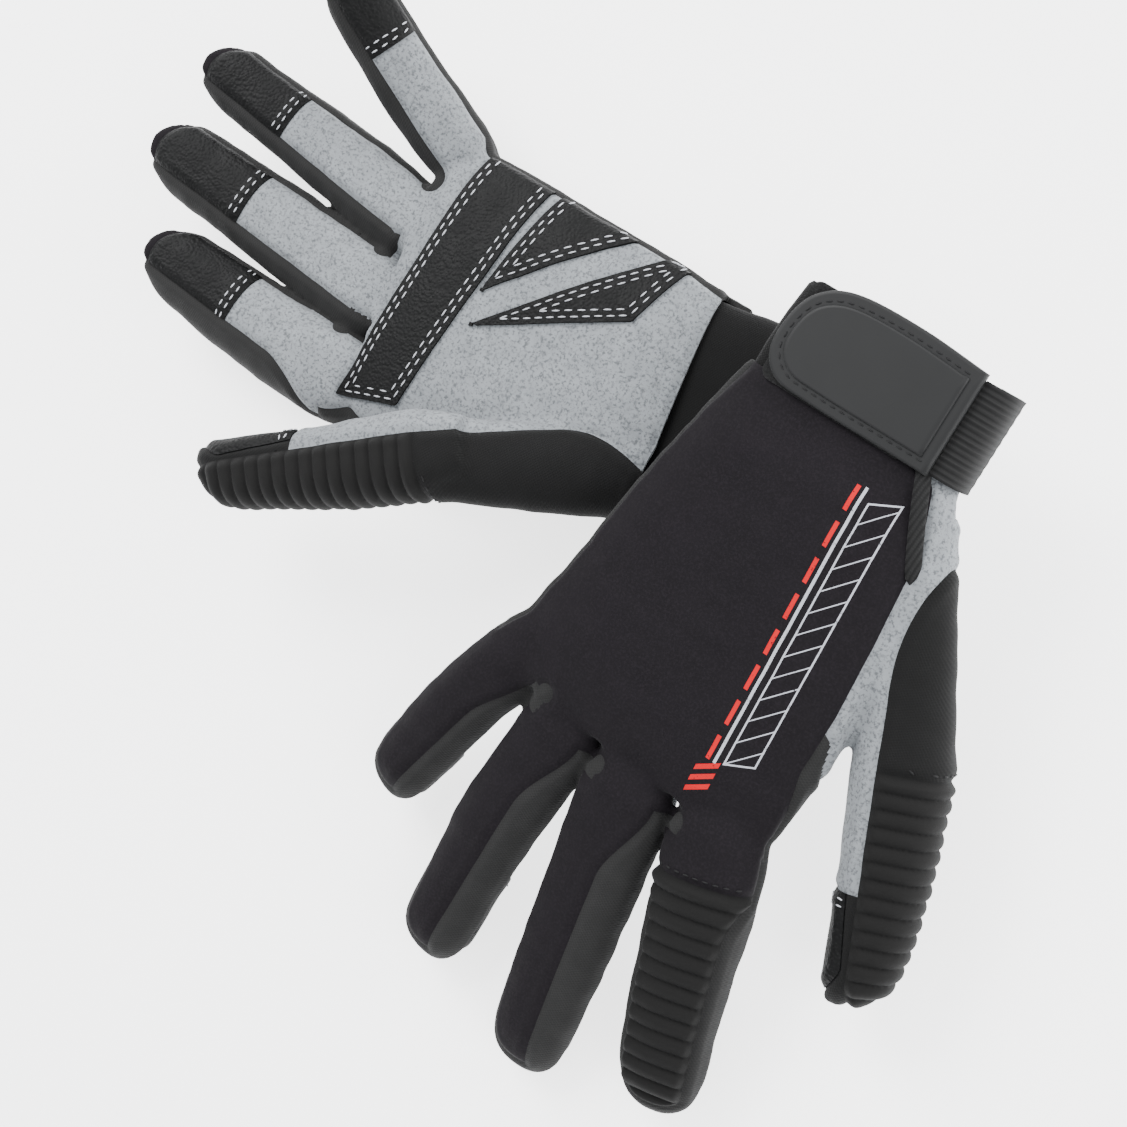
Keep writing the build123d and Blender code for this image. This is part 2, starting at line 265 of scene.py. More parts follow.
@dataclass(frozen=True)
class Neoprene:
    """Foam rubber faced with fine jersey, which carries the screen print of the back."""

    name: str = "neoprene"
    grey: float = 0.0045
    printed: bool = False
    print_along: tuple[float, float] = (0.031, 0.112)
    print_across: float = 0.0135
    print_slope: float = 0.05
    dash: float = 0.0105

    def material(self) -> bpy.types.Material:
        """Builds the node material."""
        kit = NodeKit(self.name)
        place = kit.place()
        nap = kit.noise(place, 1500, 3, 0.65)
        mottle = kit.noise(place, 90, 4, 0.6).ramp(0.3, 0.7)
        colour = kit.mix(mottle, (self.grey * 0.95, self.grey * 0.72, self.grey * 1.0),
                         (self.grey * 1.3, self.grey * 1.0, self.grey * 1.35))
        colour = kit.mix(nap.ramp(0.45, 0.65), colour, (self.grey * 1.9, self.grey * 1.5, self.grey * 1.95))
        if self.printed:
            colour = self._print(kit, colour)
        kit.bump(kit.noise(place, 700, 2), 0.00012, 0.5)
        kit.bump(nap, 0.00016, 0.55)
        return kit.finish(base_color=colour, roughness=0.86, sheen_weight=0.035, sheen_roughness=0.4,
                          specular_ior_level=0.16)

    def _print(self, kit: NodeKit, colour: Socket) -> Socket:
        """Adds the white line, the red dashes beside it, the slanted bars at its end and a plain band."""
        cut = kit.cut()
        along = kit.axis(cut, "Y")
        across = kit.axis(cut, "X") - along * self.print_slope
        wear = kit.noise(kit.place(), 900, 3, 0.7).ramp(0.28, 0.4)
        start, end = self.print_along
        inside = (along - (start + end) / 2).absolute().below((end - start) / 2)
        line = (across - self.print_across).absolute().below(0.00042) * inside
        dashes = along.wrap(self.dash).below(self.dash * 0.68)
        dashes = dashes * (across - self.print_across + 0.0021).absolute().below(0.0006) * inside
        slanted, pitch = along + across * 0.7, 0.0032
        first = math.ceil((end + self.print_across * 0.7) / pitch) * pitch
        three = (slanted - first - 1.5 * pitch).absolute().below(1.5 * pitch)
        bars = slanted.wrap(pitch).below(pitch / 2) * three
        bars = bars * (across - self.print_across + 0.0012).absolute().below(0.0029)
        band = self._band(along, across)
        colour = kit.mix(line.maximum(band) * wear, colour, (0.42, 0.43, 0.47))
        return kit.mix(dashes.maximum(bars) * wear, colour, (0.52, 0.008, 0.012))

    def _band(self, along: Socket, across: Socket) -> Socket:
        """A plain outlined band with slanted hatching beside the line."""
        start, end = self.print_along
        slanted = along + across * 0.5
        ends = (slanted - (start + end) / 2 - 0.009).absolute()
        beside = (across - self.print_across - 0.0062).absolute()
        outer = ends.below(0.0385) * beside.below(0.0040)
        inner = ends.below(0.0380) * beside.below(0.0035)
        hatch = (slanted + across * 0.6).wrap(0.0064).below(0.00045) * inner
        return (outer - inner).maximum(hatch)


@dataclass(frozen=True)
class StretchKnit:
    """Fine stretch knit of the side walls, the thumb's back and the cuff."""

    name: str
    grey: float
    loop: float = 0.0011

    def material(self) -> bpy.types.Material:
        """Builds the node material."""
        kit = NodeKit(self.name)
        place, cut = kit.place(), kit.cut()
        turn = 2 * math.pi / self.loop
        wales = (kit.axis(cut, "X") * turn).sine()
        courses = (kit.axis(cut, "Y") * turn * 1.3).sine()
        weave = (wales * courses).ramp(-1, 1)
        mottle = kit.noise(place, 140, 4).ramp(0.3, 0.7)
        colour = kit.mix(mottle, _rgb(self.grey * 0.86, 0.01), _rgb(self.grey * 1.15, 0.01))
        # Painted shade: the colour is darker where the weave's relief is low, in the gaps between the loops.
        colour = kit.mix(weave, _rgb(self.grey * 0.7, 0.01), colour)
        kit.bump(weave, 0.00014, 0.6)
        kit.bump(kit.noise(place, 2200, 3), 0.0001, 0.5)
        return kit.finish(base_color=colour, roughness=0.9, sheen_weight=0.035, specular_ior_level=0.16)


@dataclass(frozen=True)
class Suede:
    """Pale synthetic suede, speckled with darker fibres."""

    name: str = "suede"
    light: tuple[float, float, float] = (0.235, 0.250, 0.262)
    dark: tuple[float, float, float] = (0.150, 0.160, 0.170)

    def material(self) -> bpy.types.Material:
        """Builds the node material."""
        kit = NodeKit(self.name)
        place = kit.place()
        cloud = kit.noise(place, 160, 5, 0.65).ramp(0.35, 0.68)
        speck = kit.noise(place, 1100, 2, 0.6).ramp(0.5, 0.66)
        fleck = kit.noise(place, 620, 3, 0.65).ramp(0.55, 0.68)
        colour = kit.mix(cloud * 0.45, self.light, self.dark)
        colour = kit.mix(speck * 0.8, colour, (0.075, 0.080, 0.086))
        colour = kit.mix(fleck * 0.6, colour, (0.095, 0.100, 0.106))
        kit.bump(kit.noise(place, 420, 4, 0.6), 0.0003, 0.35)
        kit.bump(kit.noise(place, 2600, 3, 0.7), 0.00015, 0.5)
        return kit.finish(base_color=colour, roughness=0.93, sheen_weight=0.06, specular_ior_level=0.15)


@dataclass(frozen=True)
class GrainLeather:
    """Black grip leather with a pebbled grain."""

    name: str = "grip_leather"
    grey: float = 0.0028
    pebble: float = 1150.0

    def material(self) -> bpy.types.Material:
        """Builds the node material."""
        kit = NodeKit(self.name)
        place = kit.place()
        pebbles = kit.cells(place, self.pebble, "SMOOTH_F1").ramp(0.1, 0.75)
        fine = kit.noise(place, 2800, 3, 0.6)
        wear = kit.noise(place, 120, 5, 0.65).ramp(0.42, 0.75)
        colour = kit.mix(wear, _rgb(self.grey, -0.02), _rgb(self.grey * 1.7, -0.02))
        # Painted shade: the crevices between the pebbles, low in the relief, are darker.
        colour = kit.mix(pebbles.ramp(0.6, 1.0) * 0.6, colour, _rgb(self.grey * 0.45))
        kit.bump(1 - pebbles, 0.0003, 0.75)
        kit.bump(fine, 0.00008, 0.4)
        rough = wear.ramp(0, 1, 0.58, 0.72)
        return kit.finish(base_color=colour, roughness=rough, specular_ior_level=0.15)


@dataclass(frozen=True)
class RibCloth:
    """Matt cloth over the padded ribs."""

    name: str = "ribbed_knit"
    grey: float = 0.0052

    def material(self) -> bpy.types.Material:
        """Builds the node material."""
        kit = NodeKit(self.name)
        place = kit.place()
        nap = kit.noise(place, 2400, 4, 0.7)
        # Painted shade: the cloth is darker in the grooves between the ribs and lighter on their crowns.
        painted_rib_shade = kit.add("ShaderNodeAttribute", {"attribute_name": "painted_rib_shade"}, {}, "Fac")
        colour = kit.mix(painted_rib_shade, _rgb(self.grey * 0.5, 0.03), _rgb(self.grey * 1.25, 0.03))
        colour = kit.mix(nap.ramp(0.4, 0.8) * 0.6, colour, _rgb(self.grey * 1.7, 0.02))
        kit.bump(nap, 0.00018, 0.6)
        return kit.finish(base_color=colour, roughness=0.86, sheen_weight=0.035, specular_ior_level=0.16)


@dataclass(frozen=True)
class Rubber:
    """Satin moulded rubber of the strap."""

    name: str = "strap_rubber"
    grey: float = 0.0071

    def material(self) -> bpy.types.Material:
        """Builds the node material."""
        kit = NodeKit(self.name)
        place = kit.place()
        smudge = kit.noise(place, 60, 3, 0.5).ramp(0.3, 0.75)
        colour = kit.mix(smudge, _rgb(self.grey * 0.92, -0.03), _rgb(self.grey * 1.15, -0.03))
        kit.bump(kit.noise(place, 2400, 2, 0.5), 0.00003, 0.3)
        return kit.finish(base_color=colour, roughness=0.56, specular_ior_level=0.3)


@dataclass(frozen=True)
class RibbedTape:
    """Woven tape with ribs across it: the elastic webbing, the slit binding and the hook pad."""

    name: str
    grey: float
    rib: float = 0.0012
    across: str = "X"

    def material(self) -> bpy.types.Material:
        """Builds the node material."""
        kit = NodeKit(self.name)
        cut = kit.cut()
        ribs = (kit.axis(cut, self.across) * (2 * math.pi / self.rib)).sine().ramp(-1, 1)
        threads = (kit.axis(cut, "Y") * (2 * math.pi / 0.0007)).sine().ramp(-1, 1)
        # Painted shade: the tape is darker in the troughs between its ribs and lighter on their crests.
        colour = kit.mix(ribs, _rgb(self.grey * 0.55), _rgb(self.grey * 1.3))
        kit.bump(ribs, 0.0003, 0.8)
        kit.bump(threads * ribs, 0.00012, 0.6)
        return kit.finish(base_color=colour, roughness=0.82, sheen_weight=0.03, specular_ior_level=0.2)


@dataclass(frozen=True)
class Pile:
    """Fuzzy loop tape."""

    name: str = "loop_pile"
    grey: float = 0.014

    def material(self) -> bpy.types.Material:
        """Builds the node material."""
        kit = NodeKit(self.name)
        place = kit.place()
        fuzz = kit.noise(place, 1400, 5, 0.8)
        colour = kit.mix(fuzz.ramp(0.35, 0.7), _rgb(self.grey * 0.45), _rgb(self.grey * 1.7))
        kit.bump(fuzz, 0.0006, 0.9)
        return kit.finish(base_color=colour, roughness=0.95, sheen_weight=0.05, specular_ior_level=0.12)


@dataclass(frozen=True)
class Thread:
    """Twisted sewing thread."""

    name: str
    colour: tuple[float, float, float]

    def material(self) -> bpy.types.Material:
        """Builds the node material."""
        kit = NodeKit(self.name)
        fibre = kit.noise(kit.place(), 3200, 3, 0.7)
        shaded = tuple(0.62 * c for c in self.colour)
        kit.bump(fibre, 0.0001, 0.6)
        return kit.finish(base_color=kit.mix(fibre.ramp(0.3, 0.6), shaded, self.colour), roughness=0.7,
                          specular_ior_level=0.3)


class Wardrobe:
    """The finishes of the gloves, built once and shared."""

    def __init__(self) -> None:
        """Builds every finish."""
        finishes = (
            Neoprene(), Neoprene(name="printed_neoprene", printed=True), Suede(), GrainLeather(), RibCloth(),
            StretchKnit("side_wall", 0.019), StretchKnit("thumb_knit", 0.0068),
            StretchKnit("cuff_knit", 0.004),
            Rubber(), RibbedTape("elastic_webbing", 0.011, 0.0016, "Y"), RibbedTape("binding_tape", 0.009),
            RibbedTape("hook_pad", 0.01, 0.001), Pile(), Thread("thread_white", (0.50, 0.51, 0.54)),
            Thread("thread_black", (0.006, 0.006, 0.0065)),
        )
        self.materials = {finish.name: finish.material() for finish in finishes}

    def dress(self, piece: bpy.types.Object, name: str, slot: str | None = None) -> None:
        """Gives a piece its only material."""
        piece.data.materials.clear()
        piece.data.materials.append(self.materials[name])
        slot or name


# ------------------------------------------------------------------------------------------------- geometry


@dataclass(frozen=True)
class Stall:
    """A finger or thumb stall: its frame on the glove, its widths, height and length, in millimetres."""

    name: str
    place: Matrix
    base: float
    tip: float
    height: float
    length: float
    patch: float
    root: float = 16.0
    bow: float = 0.0
    tip_height: float = 0.72
    lift: float = 0.5
    tip_margin: float = 3.2
    palm_seam: float = 6.6
    back_seam: float = 12.6
    palm_edges: tuple[float, float] = (0.95, 0.95)
    back_edges: tuple[float, float] = (1.2, 1.2)
    rib_start: float | None = None

    def local(self, points: np.ndarray) -> np.ndarray:
        """Points of the glove in the stall's own frame."""
        inverse = np.array(self.place.inverted())
        return points @ inverse[:3, :3].T + inverse[:3, 3]

    def half_width(self, along: float) -> float:
        """Half of the stall's width, before its tip is rounded."""
        share = max(0.0, along) / self.length
        return 0.5 * (self.base + (self.tip - self.base) * share ** 1.25)

    def strip(self, points: np.ndarray, palm: bool) -> np.ndarray:
        """Distance out of the palm's or the back's strip of cloth, negative inside it.

        Args:
            points: Points in the stall's own frame.
            palm: True for the palm's strip.

        Returns:
            One distance for each point.
        """
        along = np.clip(points[:, 1] / self.length, 0, 1)
        half = 0.5 * (self.base + (self.tip - self.base) * along ** 1.25)
        ease = np.clip(points[:, 1] / 24.0, 0, 1)
        ease = ease * ease * (3 - 2 * ease)
        low, high = self.palm_edges if palm else self.back_edges
        beyond = points[:, 2] - self.palm_seam if palm else self.back_seam - points[:, 2]
        for edge, sign in ((low, -1), (high, 1)):
            tapered = not palm or (self.name == "index" and sign > 0)
            web = min(1.25, edge + 0.55) if tapered else edge
            limit = web + (edge - web) * ease
            beyond = np.maximum(beyond, sign * points[:, 0] - limit * half)
        return beyond

    def tip_edge(self, points: np.ndarray) -> np.ndarray:
        """Distance out of the leather tip's round end, which leaves a margin of cloth about it."""
        half = self.tip / 2
        past = np.maximum(points[:, 1] - (self.length - self.tip_margin - half), 0)
        return np.hypot(points[:, 0], past) - half

    def sections(self) -> Iterable[tuple[Matrix, float, float, float]]:
        """Cross-sections from inside the hand to the rounded tip.

        Returns:
            For each section its frame, its half width, its half height and its squareness.
        """
        cap = self.tip * 0.62
        stations = list(np.linspace(-self.root, self.length - cap, 12))
        stations += [self.length - cap * (1 - math.sin(a)) for a in np.linspace(0, math.pi / 2, 8)[1:]]
        for along in stations:
            past = max(0.0, along - (self.length - cap)) / cap
            rounding = max(0.06, math.sqrt(max(0.0, 1 - past * past))) * (1 + 0.022 * min(0.0, along))
            share = max(0.0, along) / self.length
            high = 0.5 * self.height * (1 + (self.tip_height - 1) * share ** 1.5) * rounding
            wide = self.half_width(along) * rounding
            droop = self.lift * self.height - (self.lift * self.height - high) * 0.75 * share
            side = self.bow * math.sin(math.pi * min(1.0, share))
            yield Matrix.Translation((side, along, droop)), wide, high, 2.35


@dataclass(frozen=True)
class Lie:
    """How one glove lies: the spread and curl of its fingers, and where its thumb is."""

    spread: dict[str, float]
    curl: dict[str, float]
    bow: dict[str, float]
    thumb_across: float
    thumb_centre: float
    thumb_ribs: float
    thumb_angle: float
    thumb_length: float
    thumb_patch: float
    knit_taper: tuple[float, float]
    palm_edges: dict[str, tuple[float, float]]
    back_edges: dict[str, tuple[float, float]]


LIES = {
    Side.LEFT: Lie(
        {"little": -40, "ring": -17, "middle": -14, "index": -13},
        {"little": 35, "ring": 10, "middle": 6, "index": 6},
        {"little": 1.0, "ring": -1.0, "middle": -0.5, "index": 1.0},
        28.5, -11.3, 0.6, 27.0, 74.0, 34.0, (36.0, 24.0),
        {"little": (0.9, 0.55), "ring": (0.92, 0.48), "middle": (0.92, 0.52), "index": (0.92, 0.42)},
        {name: (1.2, 1.2) for name in ("little", "ring", "middle", "index")},
    ),
    Side.RIGHT: Lie(
        {"little": -18, "ring": -3, "middle": 8, "index": 17},
        {"little": 3, "ring": 3, "middle": 3, "index": 3},
        {"little": -1.5, "ring": -1.0, "middle": 0.0, "index": 0.0},
        44.4, 5.0, 4.6, 23.5, 67.0, 30.0, (16.0, 40.0),
        {name: (0.95, 0.95) for name in ("little", "ring", "middle", "index")},
        {"little": (1.2, 0.38), "ring": (1.2, 0.22), "middle": (1.2, 0.26), "index": (0.86, 0.74)},
    ),
}


class Shaper:
    """Mesh work shared by all pieces."""

    @staticmethod
    def ring(mesh: bmesh.types.BMesh, place: Matrix, wide: float, high: float, square: float) -> list:
        """Adds one closed section in the XZ plane of a frame.

        Args:
            mesh: The mesh that gets the ring.
            place: The section's frame.
            wide: Its half width.
            high: Its half height.
            square: 2 for an ellipse, more for a squarer outline.

        Returns:
            The ring's edges.
        """
        made = bmesh.ops.create_circle(mesh, segments=32, radius=1.0)["verts"]
        for vert in made:
            c, s = vert.co.x, vert.co.y
            x = math.copysign(abs(c) ** (2 / square), c) * wide
            z = math.copysign(abs(s) ** (2 / square), s) * high
            vert.co = place @ Vector((x, 0, z))
        return list(dict.fromkeys(edge for vert in made for edge in vert.link_edges))

    @classmethod
    def loft(cls, mesh: bmesh.types.BMesh, sections: Iterable[tuple[Matrix, float, float, float]]) -> None:
        """Adds a closed skin through a row of sections."""
        rings = [cls.ring(mesh, *section) for section in sections]
        for near, far in zip(rings, rings[1:]):
            bmesh.ops.bridge_loops(mesh, edges=near + far)
        for end in (rings[0], rings[-1]):
            bmesh.ops.contextual_create(mesh, geom=end)

    @staticmethod
    def fuse(mesh: bmesh.types.BMesh, voxel: float, smooth: int) -> bpy.types.Mesh:
        """Joins overlapping closed skins into one smooth skin.

        Args:
            mesh: The overlapping skins, in millimetres. It is freed.
            voxel: Size of the new faces.
            smooth: How many times the result is smoothed.

        Returns:
            The fused mesh.
        """
        bmesh.ops.recalc_face_normals(mesh, faces=mesh.faces)
        data = bpy.data.meshes.new("blank")
        mesh.to_mesh(data)
        mesh.free()
        blank = bpy.data.objects.new("blank", data)
        bpy.context.scene.collection.objects.link(blank)
        remesh = blank.modifiers.new("remesh", "REMESH")
        remesh.mode, remesh.voxel_size = "VOXEL", voxel
        soften = blank.modifiers.new("soften", "SMOOTH")
        soften.factor, soften.iterations = 0.5, smooth
        graph = bpy.context.evaluated_depsgraph_get()
        fused = bpy.data.meshes.new_from_object(blank.evaluated_get(graph))
        bpy.data.objects.remove(blank)
        return fused

    @staticmethod
    def cut_along(mesh: bmesh.types.BMesh, faces: list, height: Callable[[np.ndarray], np.ndarray]) -> None:
        """Adds a line of edges where a height field crosses zero.

        Args:
            mesh: The mesh that is cut.
            faces: The faces that may be cut.
            height: The field at an array of points.
        """
        verts = list(dict.fromkeys(vert for face in faces for vert in face.verts))
        if not verts:
            return
        values = height(np.array([vert.co for vert in verts]))
        values[np.abs(values) < 1e-4] = 1e-4
        level = dict(zip(verts, values))
        edges = list(dict.fromkeys(edge for face in faces for edge in face.edges))
        fresh = set()
        for edge in edges:
            a, b = edge.verts
            if a in level and b in level and level[a] * level[b] < 0:
                share = level[a] / (level[a] - level[b])
                share = min(0.97, max(0.03, share))
                fresh.add(bmesh.utils.edge_split(edge, a, share)[1])
        for face in faces:
            crossed = [vert for vert in face.verts if vert in fresh]
            if len(crossed) == 2:
                bmesh.utils.face_split(face, crossed[0], crossed[1])


def polygon_distance(points: np.ndarray, corners: Sequence[tuple[float, float]]) -> np.ndarray:
    """Signed distance in plan to a polygon, negative inside.

    Args:
        points: An array of points.
        corners: The polygon's corners in order.

    Returns:
        One distance for each point.
    """
    flat = points[:, :2]
    nearest = np.full(len(flat), 1e9)
    inside = np.zeros(len(flat), bool)
    for (ax, ay), (bx, by) in zip(corners, [*corners[1:], corners[0]]):
        edge = np.array([bx - ax, by - ay])
        offset = flat - (ax, ay)
        share = np.clip(offset @ edge / (edge @ edge), 0, 1)
        nearest = np.minimum(nearest, np.linalg.norm(offset - share[:, None] * edge, axis=1))
        crosses = (ay > flat[:, 1]) != (by > flat[:, 1])
        with np.errstate(divide="ignore", invalid="ignore"):
            inside ^= crosses & (flat[:, 0] < (bx - ax) * (flat[:, 1] - ay) / (by - ay) + ax)
    return np.where(inside, -nearest, nearest)


# --------------------------------------------------------------------------------------------------- glove


@dataclass
class Glove:
    """One glove: its sizes in millimetres, its skin, and the panels and trim made from the skin."""

    side: Side
    wardrobe: Wardrobe
    height: float = 24.0
    voxel: float = 1.05
    thickness: float = 1.3
    patch_height: float = 0.9
    groove_depth: float = 0.55
    groove_width: float = 1.0
    cuff_end: float = -6.0
    cuff_seam: float = 27.0
    back_edge: float = 19.5
    strip_end: float = 96.0
    web_radius: tuple[float, float] = (4.0, 2.6)
    ball_seam: tuple[tuple[float, float], ...] = (
        (-17.0, 48.0), (-8.0, 39.0), (0.0, 32.5), (7.5, 29.0), (14.0, 27.5),
    )
    strap_root: float = 26.0
    strap_middle: float = 6.0
    peel_height: float = 20.85
    thumb_along: float = 90.0
    thumb_seam: float = 8.5
    stations: tuple[tuple[float, float, float], ...] = (
        (13.0, -32.5, 32.5), (21.0, -33.2, 33.6), (28.0, -34.4, 35.0), (36.0, -36.2, 36.4),
        (45.0, -38.5, 38.0), (63.0, -42.5, 41.0), (85.0, -46.0, 43.0), (100.0, -49.5, 43.0),
        (112.0, -52.0, 42.5), (121.0, -53.0, 41.5), (127.0, -51.0, 40.0),
    )
    bar: tuple[tuple[float, float], ...] = ((-60.0, 83.7), (-60.0, 109.0), (33.0, 128.5), (30.0, 107.0))
    wedges: tuple[tuple[tuple[float, float], ...], ...] = (
        ((-10.0, 95.0), (-60.0, 78.8), (-50.0, 47.0), (-40.5, 55.0)),
        ((1.0, 95.0), (-48.0, 30.5), (-36.0, 38.0), (-16.0, 47.0)),
    )
    pieces: list[bpy.types.Object] = field(default_factory=list)

    def __post_init__(self) -> None:
        """Works out the glove's frame and its stalls."""
        self.lie = LIES[self.side]
        self.to_row = self._frame()
        self.mirrored = self.side is Side.RIGHT
        self.stalls = self._finger_stalls() + [self._thumb_stall()]
        self.fingers, self.thumb = self.stalls[:-1], self.stalls[-1]

    # -- frames

    def _joint(self, name: str) -> dict:
        """A joint of this glove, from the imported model."""
        return next(j for j in frame["joints"] if j["name"] == f"{self.side.value}_{name}")

    def _frame(self) -> Matrix:
        """The glove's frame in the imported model, worked out from its strap and knuckle joints."""
        peel = self._joint("strap_peel")
        little, index = (Vector(self._joint(f"{n}_bend")["pos_m"]) for n in ("little", "index"))
        along = Vector(peel["axis"]).normalized()
        if (index - Vector(peel["pos_m"])).dot(along) < 0:
            along.negate()
        across = index - little
        across = (across - along * across.dot(along)).normalized()
        up = across.cross(along) if self.side is Side.LEFT else along.cross(across)
        hinge = Vector((self.strap_root, self.strap_middle, self.peel_height))
        turn = Matrix((across, along, up)).transposed() * MM
        place = turn.to_4x4()
        place.translation = Vector(peel["pos_m"]) - turn @ hinge
        return place

    def _finger_stalls(self) -> list[Stall]:
        """The four finger stalls in order from the little finger."""
        table = (
            ("little", -45.5, 120.0, 22.0, 19.0, 64.0, 27.0, 20.0),
            ("ring", -25.0, 131.0, 25.0, 20.5, 83.0, 36.0, 20.0),
            ("middle", 0.5, 134.0, 27.5, 22.5, 89.0, 41.0, 21.0),
            ("index", 28.5, 131.0, 28.5, 23.0, 79.0, 38.0, 21.0),
        )
        stalls = []
        for name, across, along, base, tip, length, patch, height in table:
            s, c = math.radians(self.lie.spread[name]), math.radians(self.lie.curl[name])
            x = Vector((math.cos(s), -math.sin(s), 0))
            flat = Vector((math.sin(s), math.cos(s), 0))
            up = Vector((0, 0, 1))
            y = flat * math.cos(c) - up * math.sin(c)
            z = flat * math.sin(c) + up * math.cos(c)
            place = Matrix((x, y, z)).transposed().to_4x4()
            place.translation = (across, along, 1.6)
            ribs = 10.0 if name == "index" else None
            stalls.append(Stall(name, place, base, tip, height, length, patch, bow=self.lie.bow[name],
                                palm_edges=self.lie.palm_edges[name], back_edges=self.lie.back_edges[name],
                                rib_start=ribs))
        return stalls

    def _thumb_stall(self) -> Stall:
        """The thumb stall: its X points out of the palm and its Z away from the fingers."""
        turn = math.radians(self.lie.thumb_angle)
        y = Vector((math.sin(turn), math.cos(turn), 0))
        z = Vector((math.cos(turn), -math.sin(turn), 0))
        place = Matrix((Vector((0, 0, -1)), y, z)).transposed().to_4x4()
        place.translation = (self.lie.thumb_across, self.thumb_along, self.lie.thumb_centre)
        return Stall("thumb", place, 23.0, 17.0, 26.5, self.lie.thumb_length, self.lie.thumb_patch,
                     root=12.0, tip_height=0.66, lift=0.48, palm_seam=self.thumb_seam,
                     back_seam=self.thumb_seam, palm_edges=(1.3, 1.3), rib_start=self.lie.thumb_ribs)

    # -- skin

    def _hand_sections(self) -> Iterable[tuple[Matrix, float, float, float]]:
        """Cross-sections of the hand from inside the cuff to the knuckles."""
        last = self.stations[-1][0]
        for along, outer, inner in self.stations:
            nearness = max(0.0, (along - 112.0) / (last - 112.0))
            wrist = max(0.0, min(1.0, (along - 21.0) / 18.0))
            eased = wrist * wrist * (3 - 2 * wrist)
            high = self.height / 2 * (0.72 + 0.28 * eased) * (1 - 0.28 * nearness ** 2)
            centre = Vector(((outer + inner) / 2, along, self.height / 2 - 0.3))
            yield Matrix.Translation(centre), (inner - outer) / 2, high, 2.9

    def _thenar_sections(self) -> Iterable[tuple[Matrix, float, float, float]]:
        """Cross-sections of the ball of the thumb, from the wrist to the thumb's hinge."""
        left = self.side is Side.LEFT
        start = Vector((22.0, 22.0, 9.5 if left else 11.5))
        end = self.thumb.place @ Vector((0, 3.0, 12.7))
        for share in np.linspace(0, 1, 12):
            centre = start.lerp(end, share)
            centre.z = start.z + (end.z - start.z) * share ** (1.3 if left else 1.0)
            wide = 11.5 + 1.7 * share
            high = 8.6 + 2.6 * share
            turn = Matrix.Rotation(-math.radians(self.lie.thumb_angle) * share, 4, "Z")
            yield Matrix.Translation(centre) @ turn, wide, high, 2.1

    def skin(self) -> bmesh.types.BMesh:
        """Builds the whole skin of the glove, in its own frame."""
        raw = bmesh.new()
        Shaper.loft(raw, self._hand_sections())
        Shaper.loft(raw, self._thenar_sections())
        for stall in self.stalls:
            Shaper.loft(raw, ((stall.place @ m, w, h, n) for m, w, h, n in stall.sections()))
        fused = Shaper.fuse(raw, self.voxel, 9)
        mesh = bmesh.new()
        mesh.from_mesh(fused)
        bpy.data.meshes.remove(fused)
        return mesh

    # -- which stall a point belongs to

    def owners(self, points: np.ndarray) -> np.ndarray:
        """The stall that each point belongs to: its number, or -1 for the hand."""
        best = np.full(len(points), 1e9)
        owner = np.full(len(points), -1)
        for number, stall in enumerate(self.stalls):
            local = stall.local(points)
            middle = stall.height * 0.5
            reach = np.hypot(local[:, 0], local[:, 2] - middle)
            limit = stall.base * 0.5 + (9.0 if stall is self.thumb else 7.0)
            fits = (local[:, 1] > 0) & (local[:, 1] < stall.length + 9) & (reach < limit) & (reach < best)
            owner[fits] = number
            best[fits] = reach[fits]
        return owner

    @staticmethod
    def _reach(points: np.ndarray, stall: Stall) -> np.ndarray:
        """Distance of points from the line down the middle of a stall."""
        local = stall.local(points)
        return np.hypot(local[:, 0], local[:, 2] - stall.height / 2)

    def _between(self, mesh: bmesh.types.BMesh, near: Stall, far: Stall) -> list:
        """Faces in the web between two stalls, where the skin passes from one to the other."""
        centres = np.array([face.calc_center_median() for face in mesh.faces])
        gap = np.abs(self._reach(centres, near) - self._reach(centres, far))
        fits = (near.local(centres)[:, 1] > -2) & (far.local(centres)[:, 1] > -2) & (gap < 4)
        fits &= near.local(centres)[:, 1] < 40
        mesh.faces.ensure_lookup_table()
        return [mesh.faces[i] for i in np.flatnonzero(fits)]

    def _near_stall(self, mesh: bmesh.types.BMesh, number: int, slack: float) -> list:
        """Faces about a stall, to a distance behind its hinge."""
        stall = self.stalls[number]
        centres = np.array([face.calc_center_median() for face in mesh.faces])
        reach = self._reach(centres, stall)
        mine = (stall.local(centres)[:, 1] > -slack) & (reach < stall.base * 0.5 + 9.0)
        for rival in self.stalls:
            if rival is not stall:
                beyond = rival.local(centres)[:, 1] > 1.5
                mine &= ~(beyond & (self._reach(centres, rival) < reach))
        mesh.faces.ensure_lookup_table()
        return [mesh.faces[i] for i in np.flatnonzero(mine)]

    def _knit_field(self, points: np.ndarray) -> np.ndarray:
        """Negative inside the knit back of the thumb's root, which has a round end by the wrist."""
        local = self.thumb.local(points)
        start, length = self.lie.knit_taper
        narrowing = np.clip((-local[:, 1] - start) / length, 0, 1.3)
        return self.thumb_seam - local[:, 2] + 16.0 * narrowing ** 2

    def _strip_seam(self, points: np.ndarray) -> np.ndarray:
        """Distance past the slanted end of the palm's suede on the thumb side of the hand."""
        return points[:, 1] - self.strip_end + 0.9 * (points[:, 2] - 12.0)

    def _webs(self) -> list[Vector]:
        """Middles of the round ends of the side walls, at the thumb side of the three outer fingers."""
        webs = []
        for stall in self.fingers[:-1]:
            side = stall.base / 2 * stall.palm_edges[1] + self.web_radius[0]
            webs.append(stall.place @ Vector((side, 0.5, 0)))
        return webs

    def _web_seam(self, points: np.ndarray) -> np.ndarray:
        """Distance out of the round ends of the side walls at the webs."""
        radius = np.where(points[:, 2] < 12.0, self.web_radius[0], self.web_radius[1])
        gaps = [np.hypot(points[:, 0] - web.x, points[:, 1] - web.y) for web in self._webs()]
        return np.minimum.reduce(gaps) - radius

